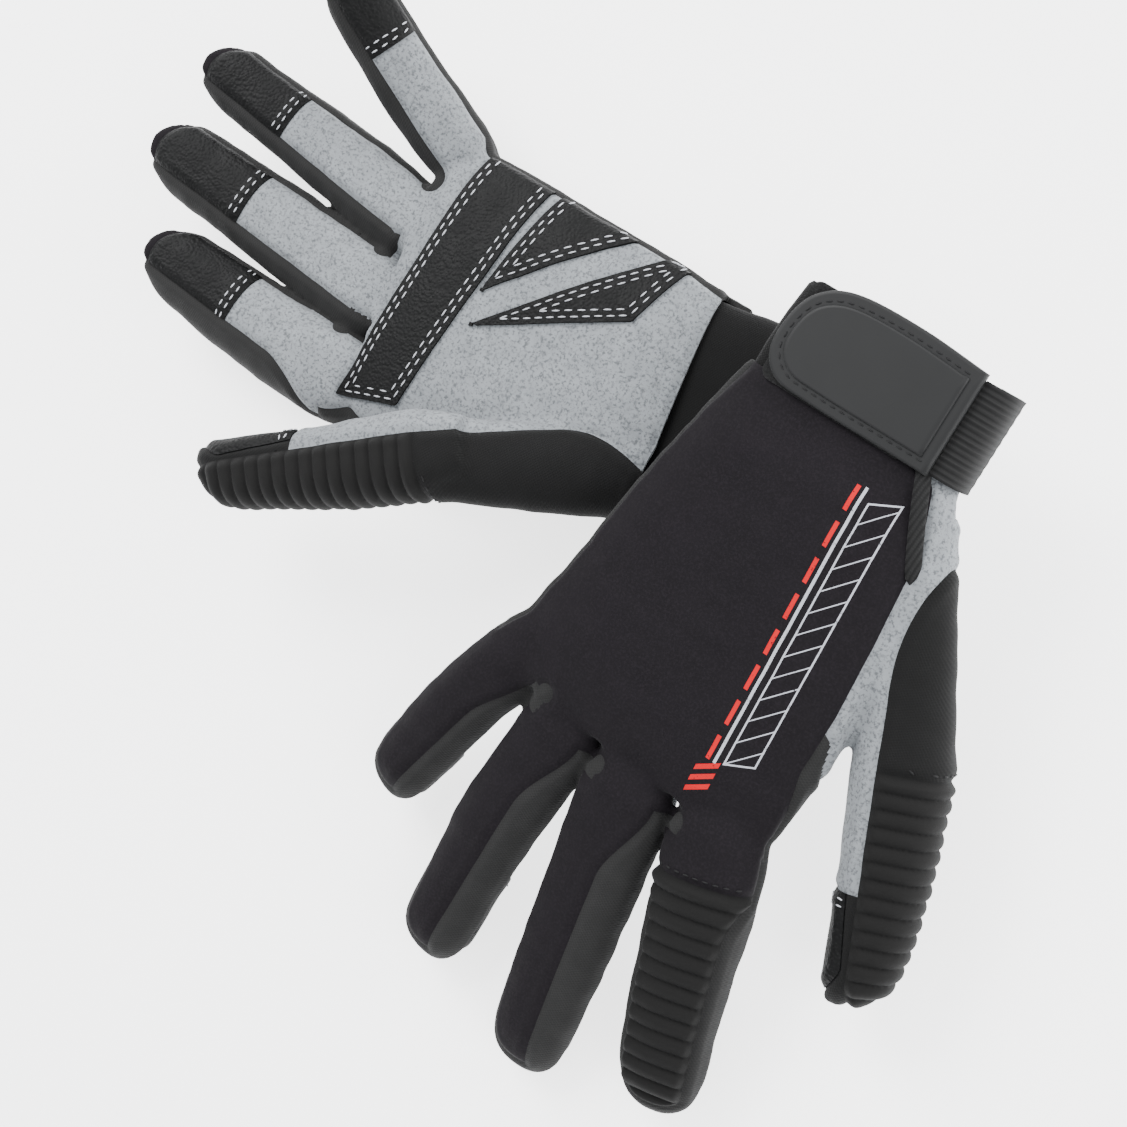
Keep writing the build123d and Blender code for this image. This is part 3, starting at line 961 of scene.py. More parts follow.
    def _wrist_seam(self, points: np.ndarray) -> np.ndarray:
        """Distance from the edge by the cuff, which lies further back on the dorsal side."""
        return points[:, 1] - np.where(points[:, 2] > 12.0, self.back_edge, self.cuff_seam)

    def _side_seam(self, points: np.ndarray, back: bool) -> np.ndarray:
        """Height above the seam between the hand's side and its back or palm."""
        thumb_side = points[:, 0] > 0
        if back:
            fall = np.clip((points[:, 1] - 100.0) / 28.0, 0, 1)
            fall = fall * fall * (3 - 2 * fall)
            seam = np.where(thumb_side, 18.8 - 6.2 * fall, 16.5)
        else:
            seam = np.where(thumb_side, 5.0, 6.5)
        webs = (points[:, 1] > 112.0) & (points[:, 0] > -44.0) & (points[:, 0] < 30.0)
        return points[:, 2] - np.where(webs, self.height / 2, seam)

    def cut_panels(self, mesh: bmesh.types.BMesh) -> list[tuple[int, Panel]]:
        """Cuts the skin along its seams and says which panel each face belongs to.

        Args:
            mesh: The skin.

        Returns:
            For each face the number of its stall, or -1, and its panel.
        """
        for number, stall in enumerate(self.stalls):
            if stall.rib_start is not None:
                faces = self._near_stall(mesh, number, 0.0)
                centres = np.array([f.calc_center_median() for f in faces])
                local = stall.local(centres)
                near_ribs = (local[:, 2] > stall.back_seam - 1) & (local[:, 1] > stall.rib_start - 2)
                ribbed = [faces[i] for i in np.flatnonzero(near_ribs)]
                edges = list(dict.fromkeys(edge for f in ribbed for edge in f.edges))
                bmesh.ops.subdivide_edges(mesh, edges=edges, cuts=1, use_grid_fill=True)
        for number, stall in enumerate(self.stalls):
            Shaper.cut_along(mesh, self._near_stall(mesh, number, 5.0), lambda p, s=stall: s.local(p)[:, 1])
        for near, far in zip(self.fingers, self.fingers[1:]):
            middle = lambda p, a=near, b=far: self._reach(p, a) - self._reach(p, b)
            Shaper.cut_along(mesh, self._between(mesh, near, far), middle)
        for number, stall in enumerate(self.stalls):
            fields = [lambda p, s=stall: s.strip(s.local(p), True)]
            if stall is not self.thumb:
                fields.append(lambda p, s=stall: s.strip(s.local(p), False))
            levels = [stall.length - stall.patch] + ([] if stall.rib_start is None else [stall.rib_start])
            fields += [lambda p, s=stall, v=level: s.local(p)[:, 1] - v for level in levels]
            for seam in fields:
                Shaper.cut_along(mesh, self._near_stall(mesh, number, 0.5), seam)
        for number, stall in enumerate(self.stalls):
            near = self._near_stall(mesh, number, 0.0)
            local = stall.local(np.array([face.calc_center_median() for face in near]))
            tip = (local[:, 2] < stall.palm_seam + 1) & (local[:, 1] > stall.length - stall.patch)
            faces = [near[i] for i in np.flatnonzero(tip)]
            Shaper.cut_along(mesh, faces, lambda p, s=stall: s.tip_edge(s.local(p)))
        fronts = [face for face in mesh.faces if 105 < face.calc_center_median().y < 145]
        Shaper.cut_along(mesh, fronts, self._web_seam)
        for back in (True, False):
            hand = self._hand_faces(mesh)
            Shaper.cut_along(mesh, hand, lambda p, b=back: self._side_seam(p, b))
        hand = [f for f in self._hand_faces(mesh) if f.calc_center_median().x > 5]
        Shaper.cut_along(mesh, hand, self._knit_field)
        side = [face for face in self._hand_faces(mesh) if face.calc_center_median().x > 20]
        Shaper.cut_along(mesh, side, self._strip_seam)
        Shaper.cut_along(mesh, self._hand_faces(mesh), self._wrist_seam)
        for corners in (self.bar, *self.wedges):
            palm = [face for face in self._hand_faces(mesh) if face.calc_center_median().z < 8.0]
            Shaper.cut_along(mesh, palm, lambda p, c=corners: polygon_distance(p, c))
        return self._name_faces(mesh)

    def _hand_faces(self, mesh: bmesh.types.BMesh) -> list:
        """Faces that belong to no stall."""
        owner = self.owners(np.array([face.calc_center_median() for face in mesh.faces]))
        mesh.faces.ensure_lookup_table()
        return [mesh.faces[i] for i in np.flatnonzero(owner < 0)]

    def _name_faces(self, mesh: bmesh.types.BMesh) -> list[tuple[int, Panel]]:
        """The stall and panel of every face of the cut skin."""
        centres = np.array([face.calc_center_median() for face in mesh.faces])
        owner = self.owners(centres)
        locals_ = [stall.local(centres) for stall in self.stalls]
        knit = self._knit_field(centres)
        back_side = self._side_seam(centres, True)
        palm_side = self._side_seam(centres, False)
        wrist, web, strip = self._wrist_seam(centres), self._web_seam(centres), self._strip_seam(centres)
        stalls = list(zip(self.stalls, locals_))
        strips = [(stall.strip(local, True), stall.strip(local, False)) for stall, local in stalls]
        margins = [stall.tip_edge(local) for stall, local in stalls]
        named = []
        for i, number in enumerate(owner):
            point = centres[i]
            if number >= 0:
                stall, local = self.stalls[number], locals_[number][i]
                in_palm, in_back = (strip[i] < 0 for strip in strips[number])
                if stall is self.thumb:
                    in_back = not in_palm
                if web[i] < 0 and stall is not self.thumb:
                    panel = Panel.STALL_WALL
                elif in_palm:
                    covered = Panel.STALL_TIP if margins[number][i] < 0 else Panel.STALL_BACK
                    panel = covered if local[1] > stall.length - stall.patch else Panel.STALL_PALM
                elif not in_back:
                    panel = Panel.STALL_WALL
                elif stall.rib_start is not None and local[1] > stall.rib_start:
                    panel = Panel.STALL_RIBS
                else:
                    panel = Panel.STALL_BACK
            elif wrist[i] < 0:
                panel = Panel.CUFF
            elif knit[i] < 0 and point[0] > 5 and point[1] < 105:
                panel = Panel.THUMB_BACK
            elif web[i] < 0:
                panel = Panel.GUSSET
            elif back_side[i] > 0:
                panel = Panel.BACK
            elif palm_side[i] < 0 or (point[0] > 5 and strip[i] < 0):
                panel = Panel.PALM
            else:
                panel = Panel.GUSSET
            named.append((int(number), panel))
        self._drop_specks(mesh, named)
        return named

    def _drop_specks(
        self, mesh: bmesh.types.BMesh, named: list[tuple[int, Panel]], smallest: int = 30
    ) -> None:
        """Gives every small patch of one cloth to the cloth that surrounds it."""
        mesh.faces.ensure_lookup_table()
        mesh.faces.index_update()
        cloths = [self._cloth(*name) for name in named]
        seen = [False] * len(named)
        for face in mesh.faces:
            if seen[face.index]:
                continue
            cloth, patch, queue, around = cloths[face.index], [], [face], []
            seen[face.index] = True
            while queue:
                here = queue.pop()
                patch.append(here.index)
                for other in dict.fromkeys(other for edge in here.edges for other in edge.link_faces):
                    if cloths[other.index] != cloth:
                        around.append(named[other.index])
                    elif not seen[other.index]:
                        seen[other.index] = True
                        queue.append(other)
            if len(patch) < smallest and around:
                common = max(dict.fromkeys(around), key=around.count)
                for index in patch:
                    own = named[index][0]
                    same_kind = (own < 0) == (common[0] < 0)
                    panel = common[1] if same_kind else self.TWINS.get(common[1], common[1])
                    if panel is Panel.STALL_RIBS and self.stalls[own].rib_start is None:
                        panel = Panel.STALL_BACK
                    named[index] = (own, panel)

    # -- relief

    CLOTH = {
        Panel.BACK: "back", Panel.STALL_BACK: "back", Panel.PALM: "palm", Panel.STALL_PALM: "palm",
        Panel.GUSSET: "wall", Panel.STALL_WALL: "wall", Panel.THUMB_BACK: "knit", Panel.CUFF: "cuff",
        Panel.STALL_TIP: "tip", Panel.STALL_RIBS: "ribs",
    }

    TWINS = {
        Panel.BACK: Panel.STALL_BACK, Panel.STALL_BACK: Panel.BACK, Panel.PALM: Panel.STALL_PALM,
        Panel.STALL_PALM: Panel.PALM, Panel.GUSSET: Panel.STALL_WALL, Panel.STALL_WALL: Panel.GUSSET,
        Panel.THUMB_BACK: Panel.STALL_BACK, Panel.STALL_TIP: Panel.PALM, Panel.STALL_RIBS: Panel.BACK,
    }

    def _cloth(self, number: int, panel: Panel) -> str:
        """The cloth that a panel is cut from: panels of one cloth run on without a seam."""
        if panel is Panel.STALL_BACK and self.stalls[number] is self.thumb:
            return "knit"
        return self.CLOTH[panel]

    def relief(self, mesh: bmesh.types.BMesh, named: list[tuple[int, Panel]]) -> None:
        """Moves the skin for its ribs, seams and creases, stores where each point is on the cut, and stores
        the painted shade of the rib grooves.

        Args:
            mesh: The cut skin.
            named: The stall and panel of each face.
        """
        mesh.verts.ensure_lookup_table()
        mesh.verts.index_update()
        mesh.normal_update()
        flat = np.array([vert.co for vert in mesh.verts])
        normals = self._even_normals(mesh)
        out = mesh.verts.layers.float_vector.new("out")
        cut = mesh.verts.layers.float_vector.new("cut")
        # Painted shade of the rib grooves, read by the ribbed cloth's colour.
        painted_rib_shade = mesh.verts.layers.float.new("painted_rib_shade")
        cloths = [self._cloth(*name) for name in named]
        seam = KDTree(len(flat))
        for vert in mesh.verts:
            around = {cloths[face.index] for face in vert.link_faces}
            if len(around) > 1:
                seam.insert(vert.co, vert.index)
        seam.balance()
        ribbed = {v.index for f in mesh.faces if cloths[f.index] == "ribs" for v in f.verts}
        places = [stall.local(flat) for stall in self.stalls]
        ball = self._line_distance(flat, self.ball_seam)
        for vert in mesh.verts:
            i = vert.index
            vert[cut] = Vector(flat[i]) * MM
            vert[out] = Vector(normals[i])
            gap = seam.find(vert.co)[2]
            lift = -self.groove_depth * math.exp(-(gap / self.groove_width) ** 2)
            lift += 0.28 * math.exp(-((gap - 2.6) / 1.3) ** 2)
            lift += self._creases(Vector(flat[i])) - 0.4 * math.exp(-(ball[i] / 0.8) ** 2) * (flat[i][2] < 9)
            vert[painted_rib_shade] = 1.0
            if i in ribbed:
                pitch, height, y = self._rib(i, places)
                wave = abs(math.sin(math.pi * y / pitch)) ** 0.62
                edge = min(1.0, gap / 2.2)
                lift += height * (wave - 0.45) * edge
                # Painted shade: the ribs' colour follows their height, darkest in the grooves.
                vert[painted_rib_shade] = wave
            vert.co += Vector(normals[i]) * lift
        mesh.normal_update()

    @staticmethod
    def _even_normals(mesh: bmesh.types.BMesh) -> np.ndarray:
        """Vertex normals weighted by area, which thin faces along a seam don't upset."""
        normals = np.zeros((len(mesh.verts), 3))
        for face in mesh.faces:
            push = np.array(face.normal) * face.calc_area()
            for vert in face.verts:
                normals[vert.index] += push
        return normals / np.maximum(np.linalg.norm(normals, axis=1, keepdims=True), 1e-9)

    @staticmethod
    def _line_distance(points: np.ndarray, line: Sequence[tuple[float, float]]) -> np.ndarray:
        """Distance in plan to a line of several runs."""
        nearest = np.full(len(points), 1e9)
        for a, b in zip(line, line[1:]):
            run = np.subtract(b, a)
            offset = points[:, :2] - a
            share = np.clip(offset @ run / (run @ run), 0, 1)
            nearest = np.minimum(nearest, np.linalg.norm(offset - share[:, None] * run, axis=1))
        return nearest

    def _rib(self, index: int, places: list[np.ndarray]) -> tuple[float, float, float]:
        """Pitch, height and distance from the first groove of the ribs at a point."""
        for number, stall in enumerate(self.stalls):
            x, y, z = places[number][index]
            if stall.rib_start is None or abs(x) > stall.base * 0.62 or not -8 < z < stall.height + 9:
                continue
            if -2 < y - stall.rib_start < stall.length:
                thumb = stall is self.thumb
                return (4.5, 1.15, y - stall.rib_start) if thumb else (4.7, 1.3, y - stall.rib_start)
        return 4.6, 0.0, 0.0

    def _creases(self, point: Vector) -> float:
        """Height of the soft folds and dents of the cloth at a point, in millimetres."""
        seed = Vector((0, 0, 40.0 if self.side is Side.LEFT else 90.0))
        broad = noise.noise(point * 0.030 + seed) * 0.9
        fine = noise.noise(Vector((point.x * 0.05, point.y * 0.16, point.z * 0.05)) + seed) * 0.35
        return broad + fine

    # -- pieces

    def _object(self, mesh: bmesh.types.BMesh, name: str, material: str, slot: str) -> bpy.types.Object:
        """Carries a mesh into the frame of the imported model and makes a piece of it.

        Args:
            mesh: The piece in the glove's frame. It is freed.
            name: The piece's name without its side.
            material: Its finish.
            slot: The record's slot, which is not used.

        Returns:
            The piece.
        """
        bmesh.ops.transform(mesh, matrix=self.to_row, verts=mesh.verts)
        if self.mirrored:
            bmesh.ops.reverse_faces(mesh, faces=mesh.faces)
        for face in mesh.faces:
            face.smooth = True
        data = bpy.data.meshes.new(f"{self.side.value}_{name}")
        mesh.to_mesh(data)
        mesh.free()
        piece = bpy.data.objects.new(f"{self.side.value}_{name}_soft", data)
        bpy.context.scene.collection.objects.link(piece)
        self.wardrobe.dress(piece, material, slot)
        self.pieces.append(piece)
        log.info("%s: %d faces", piece.name, len(data.polygons))
        return piece

    @staticmethod
    def _thicken(mesh: bmesh.types.BMesh, thickness: float) -> None:
        """Gives an open skin a thickness inwards, with crisp edges round its rim."""
        outer, border = mesh.verts[:], [edge for edge in mesh.edges if len(edge.link_faces) == 1]
        out = mesh.verts.layers.float_vector.get("out")
        made = bmesh.ops.duplicate(mesh, geom=mesh.verts[:] + mesh.edges[:] + mesh.faces[:])
        inner = made["vert_map"]
        lining = [item for item in made["geom"] if isinstance(item, bmesh.types.BMFace)]
        bmesh.ops.reverse_faces(mesh, faces=lining)
        for vert in outer:
            inner[vert].co = vert.co - (vert[out] if out else vert.normal) * thickness
        for edge in border:
            loop = edge.link_loops[0]
            a, b = loop.vert, loop.link_loop_next.vert
            rim = mesh.faces.new((b, a, inner[a], inner[b]))
            for side in rim.edges:
                side.smooth = False
        if out:
            mesh.verts.layers.float_vector.remove(out)

    def _part_of(
        self, mesh: bmesh.types.BMesh, keep: Callable[[int], bool], lift: float = 0.0
    ) -> bmesh.types.BMesh:
        """Copies some faces of the skin.

        Args:
            mesh: The skin.
            keep: Says by number whether a face is kept.
            lift: How far the copy is raised off the skin.

        Returns:
            The copy.
        """
        copy = mesh.copy()
        copy.faces.ensure_lookup_table()
        gone = [face for face in copy.faces if not keep(face.index)]
        bmesh.ops.delete(copy, geom=gone, context="FACES")
        out = copy.verts.layers.float_vector["out"]
        for vert in copy.verts:
            vert.co += vert[out] * lift
        return copy

    def _body(self, name: str) -> str:
        """A body's full name."""
        return f"{self.side.value}_{name}"

    def _bend(self, piece: bpy.types.Object, stall: Stall) -> None:
        """Bakes the transform of a piece of a stall into its mesh; the piece does not bend from the hand into
        the stall.
        """
        start = self.to_row @ (stall.place @ Vector((0, 0, stall.height / 2)))
        end = self.to_row @ (stall.place @ Vector((0, 12, stall.height / 2)))
        self._body(stall.name)
        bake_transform(piece)

    def _replace(self, piece: bpy.types.Object, *nodes: str) -> None:
        """Hides the CAD nodes of this glove that a piece stands for."""
        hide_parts(*(f"{self.side.value}_{node}" for node in nodes))

    def panels(self, skin: bmesh.types.BMesh, named: list[tuple[int, Panel]]) -> None:
        """Makes the cloth panels of the hand, the fingers and the thumb."""
        hand = {
            Panel.BACK: ("back_panel", "printed_neoprene", "neoprene", ("back_panel",)),
            Panel.PALM: ("palm_panel", "suede", "suede", ("palm_panel",)),
            Panel.GUSSET: ("outer_gusset", "side_wall", "side_wall", ("outer_gusset",)),
            Panel.THUMB_BACK: ("thumb_root", "thumb_knit", "ribbed_knit", ("thumb_root",)),
        }
        for panel, (name, material, slot, nodes) in hand.items():
            part = self._part_of(skin, lambda i, p=panel: named[i] == (-1, p))
            self._thicken(part, self.thickness)
            piece = self._object(part, name, material, slot)
            self._replace(piece, *nodes)
            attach(piece, self._body("hand"))
        for number, stall in enumerate(self.stalls):
            self._stall_panels(skin, named, number, stall)

    def _stall_panels(
        self, skin: bmesh.types.BMesh, named: list[tuple[int, Panel]], number: int, stall: Stall
    ) -> None:
        """Makes the panels of one stall."""
        back = ("thumb_knit", "ribbed_knit") if stall is self.thumb else ("neoprene", "neoprene")
        kinds = {
            Panel.STALL_BACK: ("back", *back),
            Panel.STALL_WALL: ("wall", "side_wall", "side_wall"),
            Panel.STALL_PALM: ("palm", "suede", "suede"),
            Panel.STALL_TIP: ("tip", "grip_leather", "grip_leather"),
            Panel.STALL_RIBS: ("ribs", "ribbed_knit", "ribbed_knit"),
        }
        for panel, (word, material, slot) in kinds.items():
            keep = lambda i, p=panel: named[i] == (number, p)
            if not any(keep(i) for i in range(len(named))):
                continue
            lift = 0.45 if panel is Panel.STALL_TIP else 0.0
            part = self._part_of(skin, keep, lift)
            self._thicken(part, self.thickness + lift)
            piece = self._object(part, f"{stall.name}_{word}", material, slot)
            node = f"{stall.name}_{word}"
            if f"{self.side.value}_{node}" in frame["nodes"]:
                self._replace(piece, node)
            self._bend(piece, stall)
            panel in (Panel.STALL_BACK, Panel.STALL_WALL, Panel.STALL_RIBS)

    def grips(self, skin: bmesh.types.BMesh, named: list[tuple[int, Panel]]) -> None:
        """Makes the leather bar and wedges that are stitched on the palm."""
        centres = np.array([face.calc_center_median() for face in skin.faces])
        names = ("palm_bar", "palm_wedge_upper", "palm_wedge_lower")
        for name, corners in zip(names, (self.bar, *self.wedges)):
            inside = polygon_distance(centres, corners) < 0
            palm = (centres[:, 2] < 7.0) & (centres[:, 1] < 131)
            keep = lambda i, m=inside & palm: bool(m[i]) and named[i] == (-1, Panel.PALM)
            part = self._part_of(skin, keep, self.patch_height)
            self._thicken(part, self.patch_height - 0.1)
            piece = self._object(part, name, "grip_leather", "grip_leather")
            self._replace(piece, name)
            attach(piece, self._body("hand"))

    # -- stitches

    def _stitch(self, mesh: bmesh.types.BMesh, at: Vector, along: Vector, up: Vector, length: float) -> None:
        """Adds one stitch of thread."""
        along = (along - up * along.dot(up)).normalized()
        turn = Matrix((along, up.cross(along), up)).transposed().to_4x4()
        turn.translation = at
        size = Matrix.Diagonal((length / 2, 0.27, 0.25, 1))
        bmesh.ops.create_uvsphere(mesh, u_segments=6, v_segments=4, radius=1.0, matrix=turn @ size)

    def _row(
        self, mesh: bmesh.types.BMesh, tree: BVHTree, path: Sequence[Vector], ray: Vector, lift: float,
        on: set[int], length: float = 2.7, gap: float = 0.9
    ) -> None:
        """Sews a row of stitches on the skin.

        Args:
            mesh: The mesh that gets the stitches.
            tree: The skin.
            path: Points off the skin that the row runs past.
            ray: Direction from the path to the skin.
            lift: Height of the stitches over the skin.
            on: The faces that may be sewn.
            length: Length of a stitch.
            gap: Gap between stitches.
        """
        for a, b in zip(path, path[1:]):
            run = (b - a).length
            count = max(1, int(run / (length + gap)))
            for k in range(count):
                start = a.lerp(b, (k + 0.5) / count)
                hit, normal, face, _ = tree.ray_cast(start, ray)
                if face in on:
                    short = min(length, run / count - gap * 0.6)
                    self._stitch(mesh, hit + normal * lift, b - a, normal, short)

    @staticmethod
    def _inset(corners: Sequence[tuple[float, float]], by: float) -> list[Vector]:
        """The corners of a polygon moved inwards, in order, with the first one repeated."""
        points = [Vector(c) for c in corners]
        area = sum(a.x * b.y - b.x * a.y for a, b in zip(points, points[1:] + points[:1]))
        turn = 1 if area > 0 else -1
        moved = []
        for before, here, after in zip(points[-1:] + points[:-1], points, points[1:] + points[:1]):
            u, v = (here - before).normalized(), (after - here).normalized()
            n1, n2 = Vector((-u.y, u.x)) * turn, Vector((-v.y, v.x)) * turn
            moved.append(here + (n1 + n2) * (by / (1 + n1.dot(n2))))
        return moved + moved[:1]

    def stitches(self, skin: bmesh.types.BMesh, named: list[tuple[int, Panel]]) -> None:
        """Sews the double white rows of the grips and the fingertips, and the dark rows at the ribs."""
        tree = BVHTree.FromBMesh(skin)
        palm = {i for i, name in enumerate(named) if name[1] in (Panel.PALM, Panel.STALL_PALM)}
        tips = {i for i, name in enumerate(named) if name[1] is Panel.STALL_TIP}
        dark = (Panel.BACK, Panel.STALL_BACK, Panel.THUMB_BACK)
        backs = {i for i, name in enumerate(named) if name[1] in dark}
        white = bmesh.new()
        for corners in (self.bar, *self.wedges):
            for by in (1.6, 3.5):
                path = [Vector((p.x, p.y, -15)) for p in self._inset(corners, by)]
                self._row(white, tree, path, Vector((0, 0, 1)), self.patch_height + 0.12, palm)
        piece = self._object(white, "palm_stitches", "thread_white", "thread_white")
        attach(piece, self._body("hand"))
        for stall in self.stalls:
            white = bmesh.new()
            for by in (1.7, 3.5):
                y = stall.length - stall.patch + by
                path = [stall.place @ Vector((x, y, -14)) for x in (-stall.base / 2 - 1, stall.base / 2 + 1)]
                self._row(white, tree, path, stall.place.to_3x3() @ Vector((0, 0, 1)), 0.55, tips, 2.2, 0.8)
            piece = self._object(white, f"{stall.name}_tip_stitches", "thread_white", "thread_white")
            self._bend(piece, stall)
            if stall.rib_start is not None:
                black = bmesh.new()
                y, z = stall.rib_start - 1.8, stall.height + 14
                path = [stall.place @ Vector((x, y, z)) for x in (-stall.base / 2 - 1, stall.base / 2 + 1)]
                inwards = stall.place.to_3x3() @ Vector((0, 0, -1))
                self._row(black, tree, path, inwards, 0.1, backs, 1.9, 0.7)
                piece = self._object(black, f"{stall.name}_rib_stitches", "thread_black", "thread_black")
                self._bend(piece, stall)
            log.info("stitched %s", stall.name)

    # -- cuff and strap

    def _tape(
        self, sections: Iterable[tuple[Matrix, float, float, float]], name: str, material: str, slot: str,
        thickness: float
    ) -> bpy.types.Object:
        """Makes an open tube with a thickness from a row of closed sections."""
        mesh = bmesh.new()
        cut = mesh.verts.layers.float_vector.new("cut")
        rings = [Shaper.ring(mesh, *section) for section in sections]
        for near, far in zip(rings, rings[1:]):
            bmesh.ops.bridge_loops(mesh, edges=near + far)
        bmesh.ops.recalc_face_normals(mesh, faces=mesh.faces)
        middle = sum((face.calc_center_median() for face in mesh.faces), Vector()) / len(mesh.faces)
        outward = sum((f.calc_center_median() - middle).dot(f.normal) for f in mesh.faces)
        if outward < 0:
            bmesh.ops.reverse_faces(mesh, faces=mesh.faces)
        for vert in mesh.verts:
            vert[cut] = vert.co * MM
        mesh.normal_update()
        self._thicken(mesh, thickness)
        return self._object(mesh, name, material, slot)

    def cuff(self) -> None:
        """Makes the stretch cuff, its loop patch, the webbing and the bound slit."""
        rows = (
            (self.cuff_end, 28.6, 8.2, 11.2), (self.cuff_end + 1.2, 29.4, 8.5, 11.2),
            (4.0, 30.6, 8.4, 11.2), (13.0, 31.2, 8.3, 11.3), (19.0, 31.2, 7.4, 11.5),
            (25.0, 31.6, 7.2, 11.7), (32.0, 32.0, 7.4, 11.7),
        )
        sections = [(Matrix.Translation((0, y, z)), wide, high, 3.2) for y, wide, high, z in rows]
        piece = self._tape(sections, "cuff_band", "cuff_knit", "cuff_knit", 1.8)
        self._replace(piece, "cuff_band")
        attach(piece, self._body("hand"))
        loop = self._plate(self._rounded((-26.0, -7.0), (19.0, 21.5), 3.0), 19.6, 20.5, 0.3)
        piece = self._object(loop, "loop_patch", "loop_pile", "loop_pile")
        self._replace(piece, "loop_patch")
        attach(piece, self._body("hand"))
        webbing = self._webbing()
        self._replace(webbing, "webbing")
        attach(webbing, self._body("hand"))
        binding = self._binding()
        self._replace(binding, "slit_binding")
        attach(binding, self._body("hand"))

    @staticmethod
    def _rounded(
        low: tuple[float, float], high: tuple[float, float], corner: float, steps: int = 6
    ) -> list[Vector]:
        """The outline of a rectangle with round corners."""
        middles = ((high[0] - corner, high[1] - corner, 0), (low[0] + corner, high[1] - corner, 90),
                   (low[0] + corner, low[1] + corner, 180), (high[0] - corner, low[1] + corner, 270))
        outline = []
        for x, y, start in middles:
            for k in range(steps + 1):
                turn = math.radians(start + 90 * k / steps)
                outline.append(Vector((x + corner * math.cos(turn), y + corner * math.sin(turn))))
        return outline

    def strap_outline(self, margin: float) -> list[Vector]:
        """The strap's outline: a broad square root by the thumb and a slanted round free end.

        Args:
            margin: How far the outline is moved inwards.

        Returns:
            The outline's points in order.
        """
        low, high = self.strap_middle - 15.5, self.strap_middle + 15.5
        control = (
            (self.strap_root, low + 1.5), (self.strap_root, high - 0.5), (8.0, high - 0.4),
            (-10.0, high - 0.4), (-21.0, high - 1.5), (-26.5, high - 8.0), (-26.0, low + 12.0),
            (-21.5, low + 4.5), (-12.0, low + 0.6), (6.0, low),
        )
        points = [Vector(c) for c in control]
        soft: list[Vector] = []
        count = len(points)
        for i in range(count):
            before, here, after, then = (points[(i + k) % count] for k in (-1, 0, 1, 2))
            sharp = i == 0
            for k in range(8):
                t = k / 8
                if sharp:
                    soft.append(here.lerp(after, t))
                    continue
                a = (after - before) * 0.5 if i != 1 else (after - here)
                b = (then - here) * 0.5 if (i + 1) % count != 0 else (after - here)
                h00, h10 = 2 * t**3 - 3 * t**2 + 1, t**3 - 2 * t**2 + t
                h01, h11 = -2 * t**3 + 3 * t**2, t**3 - t**2
                soft.append(here * h00 + a * h10 + after * h01 + b * h11)
        middle = Vector(((self.strap_root - 24) / 2, self.strap_middle))
        if margin:
            reach = max(abs(p.x - middle.x) for p in soft)
            high_reach = max(abs(p.y - middle.y) for p in soft)
            soft = [Vector((middle.x + (p.x - middle.x) * (1 - margin / reach),
                            middle.y + (p.y - middle.y) * (1 - margin / high_reach))) for p in soft]
        return soft

    def _plate(self, outline: Sequence[Vector], low: float, high: float, edge: float) -> bmesh.types.BMesh:
        """A flat plate with an outline and softened edges, laid over the wrist's gentle curve."""
        mesh = bmesh.new()
        cut = mesh.verts.layers.float_vector.new("cut")
        middle = sum(outline, Vector((0, 0))) / len(outline)
        reach = max((p - middle).length for p in outline)
        profile = [(1.0, low), (1.0, high - edge), (1 - 0.3 * edge / reach, high - 0.3 * edge),
                   (1 - edge / reach, high)]
        profile += [(share, high) for share in (0.94, 0.85, 0.7, 0.5, 0.25)]
        rings = []
        for scale, z in profile:
            rings.append([mesh.verts.new((*(middle + (p - middle) * scale), z)) for p in outline])
        for near, far in zip(rings, rings[1:]):
            for a, b, c, d in zip(near, near[1:] + near[:1], far[1:] + far[:1], far):
                mesh.faces.new((a, b, c, d))
        for end in (rings[0], rings[-1]):
            mesh.faces.new(end)
        bmesh.ops.recalc_face_normals(mesh, faces=mesh.faces)
        for vert in mesh.verts:
            vert[cut] = vert.co * MM
        return mesh

    def strap(self) -> None:
        """Makes the strap: the rubber tab with its raised panel and stitches, and its hook pad."""
        body = self._body("strap")
        tab = self._plate(self.strap_outline(0.0), self.peel_height, self.peel_height + 2.0, 0.9)
        piece = self._object(tab, "strap_tab", "strap_rubber", "strap_rubber")
        self._replace(piece, "strap_tab")
        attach(piece, body)
        cover = self._plate(self.strap_outline(3.6), self.peel_height + 1.2, self.peel_height + 2.55, 0.6)
        piece = self._object(cover, "strap_cover", "strap_rubber", "strap_rubber")
        self._replace(piece, "strap_cover")
        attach(piece, body)
        hook = self._plate(self._rounded((-18.0, -5.5), (8.0, 17.5), 3.0), self.peel_height - 0.85,
                           self.peel_height + 0.05, 0.2)
        piece = self._object(hook, "strap_hook", "hook_pad", "hook_pad")
        self._replace(piece, "strap_hook")
        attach(piece, body)
        black = bmesh.new()
        path = self.strap_outline(2.7)
        lengths = [0.0]
        closed = path[8:] + path[:1]
        for a, b in zip(closed, closed[1:]):
            lengths.append(lengths[-1] + (b - a).length)
        distance, up = 1.0, Vector((0, 0, 1))
        while distance < lengths[-1]:
            i = max(k for k, value in enumerate(lengths) if value <= distance)
            i = min(i, len(closed) - 2)
            share = (distance - lengths[i]) / max(1e-6, lengths[i + 1] - lengths[i])
            at = closed[i].lerp(closed[i + 1], share)
            along = (closed[i + 1] - closed[i]).to_3d()
            self._stitch(black, Vector((at.x, at.y, self.peel_height + 2.0)), along, up, 2.0)
            distance += 2.9
        piece = self._object(black, "strap_stitches", "thread_black", "thread_black")
        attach(piece, body)

